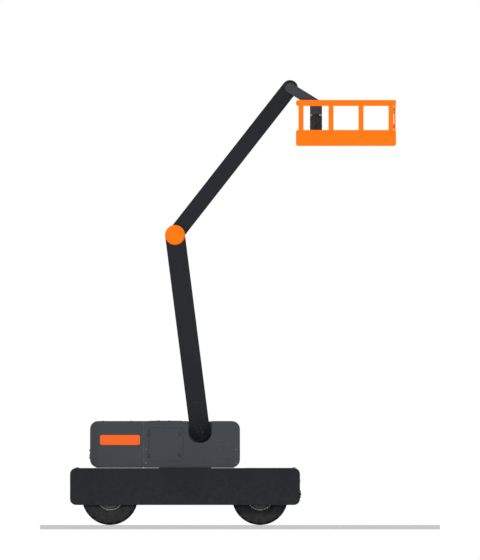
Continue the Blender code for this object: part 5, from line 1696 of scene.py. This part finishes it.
class LIFT_OT_console(bpy.types.Operator):
    """Joysticks, switches and the stop button on the platform's console"""

    bl_idname = "lift.console"
    bl_label = "Console"

    SLOPE_RISE = 0.07
    PANEL_HALF = 0.115
    PANEL_INSET = 0.012
    PANEL_THICK = 0.004
    PANEL_EDGE = 0.0015
    STICK_X = 0.06
    STICK_DEPTH = 0.42  # share of the panel's depth
    # Outline of a joystick's boot: radius, height
    BOOT = (
        (0.0, 0.034),
        (0.010, 0.033),
        (0.013, 0.026),
        (0.019, 0.024),
        (0.019, 0.019),
        (0.026, 0.016),
        (0.026, 0.011),
        (0.032, 0.008),
        (0.034, 0.004),
        (0.0, 0.004),
    )
    # Stem and grip: from, to, radius, sides, end radius
    STICK = ((0.03, 0.075, 0.006, 16, None), (0.058, 0.095, 0.013, 24, 0.016))
    # Buttons: finish, then place across, share of the depth, radius and reach of each
    BUTTONS = (
        ("red_plastic", ((0.0, 0.80, 0.017, 0.026),)),
        ("amber_plastic", ((-0.09, 0.82, 0.007, 0.012),)),
        ("green_plastic", ((-0.06, 0.82, 0.007, 0.012),)),
        ("blank_plate", ((0.06, 0.82, 0.007, 0.012), (0.09, 0.82, 0.007, 0.012), (0.0, 0.22, 0.008, 0.010))),
    )

    def execute(self, context):
        low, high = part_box("control_console")
        slope = math.atan2(self.SLOPE_RISE, high.y - low.y)
        depth = (high.y - low.y) / math.cos(slope)
        foot = ((low.x + high.x) / 2, low.y, high.z - self.SLOPE_RISE)
        place = Matrix.Translation(foot) @ Matrix.Rotation(slope, 4, "X")
        panel = bmesh.new()
        wide, inset = self.PANEL_HALF, self.PANEL_INSET
        add_box(panel, (-wide, inset, -SINK), (wide, depth - inset, self.PANEL_THICK), matrix=place)
        piece("console_panel", panel, "platform", "dark_plastic", edge=self.PANEL_EDGE)
        boots, sticks = bmesh.new(), bmesh.new()
        up = (place.to_3x3() @ Vector((0, 0, 1))).normalized()
        for x in (-self.STICK_X, self.STICK_X):
            centre = place @ Vector((x, depth * self.STICK_DEPTH, 0))
            add_lathe(boots, self.BOOT, centre, up, steps=32)
            add_studs(sticks, centre, up, self.STICK)
        merge(boots)
        piece("joystick_boots", boots, "platform", "hose_rubber")
        piece("joystick_grips", sticks, "platform", "dark_plastic", edge=SOFT_EDGE)
        for finish_name, spots in self.BUTTONS:
            buttons = bmesh.new()
            for x, share, radius, reach in spots:
                ends = (place @ Vector((x, depth * share, z)) for z in (0.003, reach))
                add_rod(buttons, *ends, radius, 24)
            piece("console_buttons_" + finish_name, buttons, "platform", finish_name, edge=PART_EDGE)
        return {"FINISHED"}


CAD_FINISHES = {
    "charcoal_paint": ("chassis_shell", "turntable_deck"),
    "frame_paint": ("chassis_frame", "rear_axle", "front_axle"),
    "boom_paint": ("lower_boom", "upper_boom", "lift_barrel"),
    "slate_paint": (
        "counterweight",
        "hood_near",
        "hood_far",
        "door_near",
        "door_far",
        "pedestal",
        "jib",
        "platform_head",
        "platform_post",
        "control_console",
    ),
    # The rims' lighter grey is partly painted light against the skirt's shade.
    "rim_paint_and_painted_light": ("rim_rear_near", "rim_rear_far", "rim_front_near", "rim_front_far"),
    "orange_paint": ("elbow_cap_near", "elbow_cap_far", "platform_tray", "guard_rail", "platform_gate"),
    "marker_lens": ("side_marker_near", "side_marker_far"),
    "machined_steel": ("slew_ring", "foot_crank", "lift_rod", "elbow_hub", "tip_hub", "level_pin", "tie_rod"),
    "cast_iron": ("knuckle_near", "knuckle_far", "engine_block"),
}
# Solids with rounded edges, by how many times the edge size
ROUNDED = {
    4.0: ("counterweight",),
    3.0: ("engine_block",),
    2.0: ("chassis_shell", "hood_near", "hood_far"),
    1.6: ("control_console",),
    1.2: ("lower_boom", "upper_boom", "platform_head"),
    1.0: ("platform_post", "pedestal"),
    0.8: ("jib", "platform_tray", "guard_rail"),
    0.6: (
        "door_near",
        "door_far",
        "platform_gate",
        "elbow_cap_near",
        "elbow_cap_far",
        "side_marker_near",
        "side_marker_far",
    ),
}


class LIFT_OT_cad_finishes(bpy.types.Operator):
    """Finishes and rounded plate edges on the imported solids"""

    bl_idname = "lift.cad_finishes"
    bl_label = "Frame finishes"

    SEGMENTS = 3

    def execute(self, context):
        for finish_name, names in CAD_FINISHES.items():
            for name in names:
                solid = frame["nodes"][name]
                solid.data.materials.clear()
                solid.data.materials.append(finishes()[finish_name])
        edge = context.scene.lift_sizes.edge
        for share, names in ROUNDED.items():
            for name in names:
                solid = frame["nodes"][name]
                solid.modifiers.new("weld", "WELD").merge_threshold = MERGE_DISTANCE
                round_edges(solid, edge * share, self.SEGMENTS)
        return {"FINISHED"}


class LIFT_OT_stage(bpy.types.Operator):
    """Pale ground slab, floor, soft lights and the side-on camera"""

    bl_idname = "lift.stage"
    bl_label = "Stage"

    SLAB_LOW = (-4.44, -2.6)
    SLAB_HIGH = (4.76, 2.6)
    FLOOR_HALF = 600
    FLOOR_COLOUR = srgb(246, 246, 246)
    PHOTO_SCALE = 0.023  # metres to a pixel of the photograph
    PHOTO_HEIGHT = 560
    CAMERA_AT = (0.161, -40, 5.635)
    CAMERA_REACH = 200
    SKY_LIGHT = 0.42
    # Suns: name, strength, angle of their disc, turn, in degrees
    SUNS = (
        ("key_sun", 1.30, 12, (56, 0, -28)),
        ("fill_sun", 0.82, 24, (80, 0, 16)),
        ("back_sun", 0.60, 30, (52, 0, 165)),
    )

    def execute(self, context):
        scene = context.scene
        scene.view_settings.view_transform = "Standard"
        under = -scene.lift_sizes.slab
        slab, floor = bmesh.new(), bmesh.new()
        add_box(slab, (*self.SLAB_LOW, under), (*self.SLAB_HIGH, 0))
        self.add_stage("ground_slab", slab, tuple(scene.lift_colours.ground))
        bmesh.ops.create_grid(floor, size=self.FLOOR_HALF, matrix=Matrix.Translation((0, 0, under)))
        self.add_stage("pale_floor", floor, self.FLOOR_COLOUR)
        self.add_world(scene)
        for name, strength, spread, turn in self.SUNS:
            lamp = bpy.data.lights.new(name, "SUN")
            lamp.energy = strength
            lamp.angle = math.radians(spread)
            made = bpy.data.objects.new(name, lamp)
            made.rotation_euler = [math.radians(angle) for angle in turn]
            scene.collection.objects.link(made)
        camera = bpy.data.cameras.new("side_camera")
        camera.type = "ORTHO"
        camera.ortho_scale = self.PHOTO_HEIGHT * self.PHOTO_SCALE
        camera.clip_end = self.CAMERA_REACH
        made = bpy.data.objects.new("side_camera", camera)
        made.location = self.CAMERA_AT
        made.rotation_euler = (math.radians(90), 0, 0)
        scene.collection.objects.link(made)
        scene.camera = made
        return {"FINISHED"}

    def add_stage(self, name, bm, colour):
        """A matt, faintly mottled part of the stage."""
        made = mesh_object(name, bm)
        stuff = bpy.data.materials.new(name)
        stuff.use_nodes = True
        tree = stuff.node_tree
        shader = tree.nodes["Principled BSDF"]
        drift = placed(
            tree,
            effects()["mottle"],
            Vector=node(tree, "TexCoord").outputs["Object"],
            Colour=(*colour, 1),
            Second=(*(part * 0.96 for part in colour), 1),
            Scale=0.8,
            Amount=0.4,
        )
        slots = [shader.inputs[label] for label in ("Base Color", "Roughness", "Specular IOR Level")]
        feed(tree, slots, drift.outputs["Colour"], 0.9, 0.1)
        made.data.materials.append(stuff)

    def add_world(self, scene):
        """Even sky light, with plain white for what the camera, gloss and glass see."""
        world = bpy.data.worlds.new("studio")
        scene.world = world
        world.use_nodes = True
        tree = world.node_tree
        tree.nodes.clear()
        rays = node(tree, "LightPath").outputs
        seen = maths(tree, "MAXIMUM", rays["Is Camera Ray"], rays["Is Transmission Ray"])
        seen = maths(tree, "MAXIMUM", seen, rays["Is Glossy Ray"])
        strength = maths(tree, "MULTIPLY", seen, 1.0 - self.SKY_LIGHT)
        back = node(tree, "Background")
        feed(tree, back.inputs, (1, 1, 1, 1), maths(tree, "ADD", strength, self.SKY_LIGHT))
        feed(tree, node(tree, "OutputWorld").inputs, back.outputs[0])


STEPS = (
    LIFT_OT_cad_finishes,
    LIFT_OT_tyres,
    LIFT_OT_wheel_fittings,
    LIFT_OT_chassis_fittings,
    LIFT_OT_underbody_fittings,
    LIFT_OT_hood_fittings,
    LIFT_OT_turntable_fittings,
    LIFT_OT_hood_tops,
    LIFT_OT_boom_fittings,
    LIFT_OT_cylinder_fittings,
    LIFT_OT_elbow_fittings,
    LIFT_OT_jib_fittings,
    LIFT_OT_platform_fittings,
    LIFT_OT_console,
    LIFT_OT_stage,
)


class LIFT_PT_panel(bpy.types.Panel):
    """Lists the lift's sizes, colours and steps"""

    bl_label = "Boom lift"
    bl_idname = "LIFT_PT_panel"
    bl_space_type = "VIEW_3D"
    bl_region_type = "UI"
    bl_category = "Boom lift"

    def draw(self, context):
        for group in (context.scene.lift_colours, context.scene.lift_sizes):
            for name in group.__annotations__:
                self.layout.prop(group, name)
        for step in STEPS:
            self.layout.operator(step.bl_idname)


CLASSES = (LiftColours, LiftSizes, *STEPS, LIFT_PT_panel)


def register():
    for each in CLASSES:
        bpy.utils.register_class(each)
    bpy.types.Scene.lift_colours = bpy.props.PointerProperty(type=LiftColours)
    bpy.types.Scene.lift_sizes = bpy.props.PointerProperty(type=LiftSizes)


def unregister():
    del bpy.types.Scene.lift_sizes
    del bpy.types.Scene.lift_colours
    for each in reversed(CLASSES):
        bpy.utils.unregister_class(each)


def main():
    register()
    bpy.ops.lift.cad_finishes()
    bpy.ops.lift.tyres()
    bpy.ops.lift.wheel_fittings()
    bpy.ops.lift.chassis_fittings()
    bpy.ops.lift.underbody_fittings()
    bpy.ops.lift.hood_fittings()
    bpy.ops.lift.turntable_fittings()
    bpy.ops.lift.hood_tops()
    bpy.ops.lift.boom_fittings()
    bpy.ops.lift.cylinder_fittings()
    bpy.ops.lift.elbow_fittings()
    bpy.ops.lift.jib_fittings()
    bpy.ops.lift.platform_fittings()
    bpy.ops.lift.console()
    bpy.ops.lift.stage()
    bpy.context.view_layer.update()


if __name__ == "__main__":
    main()
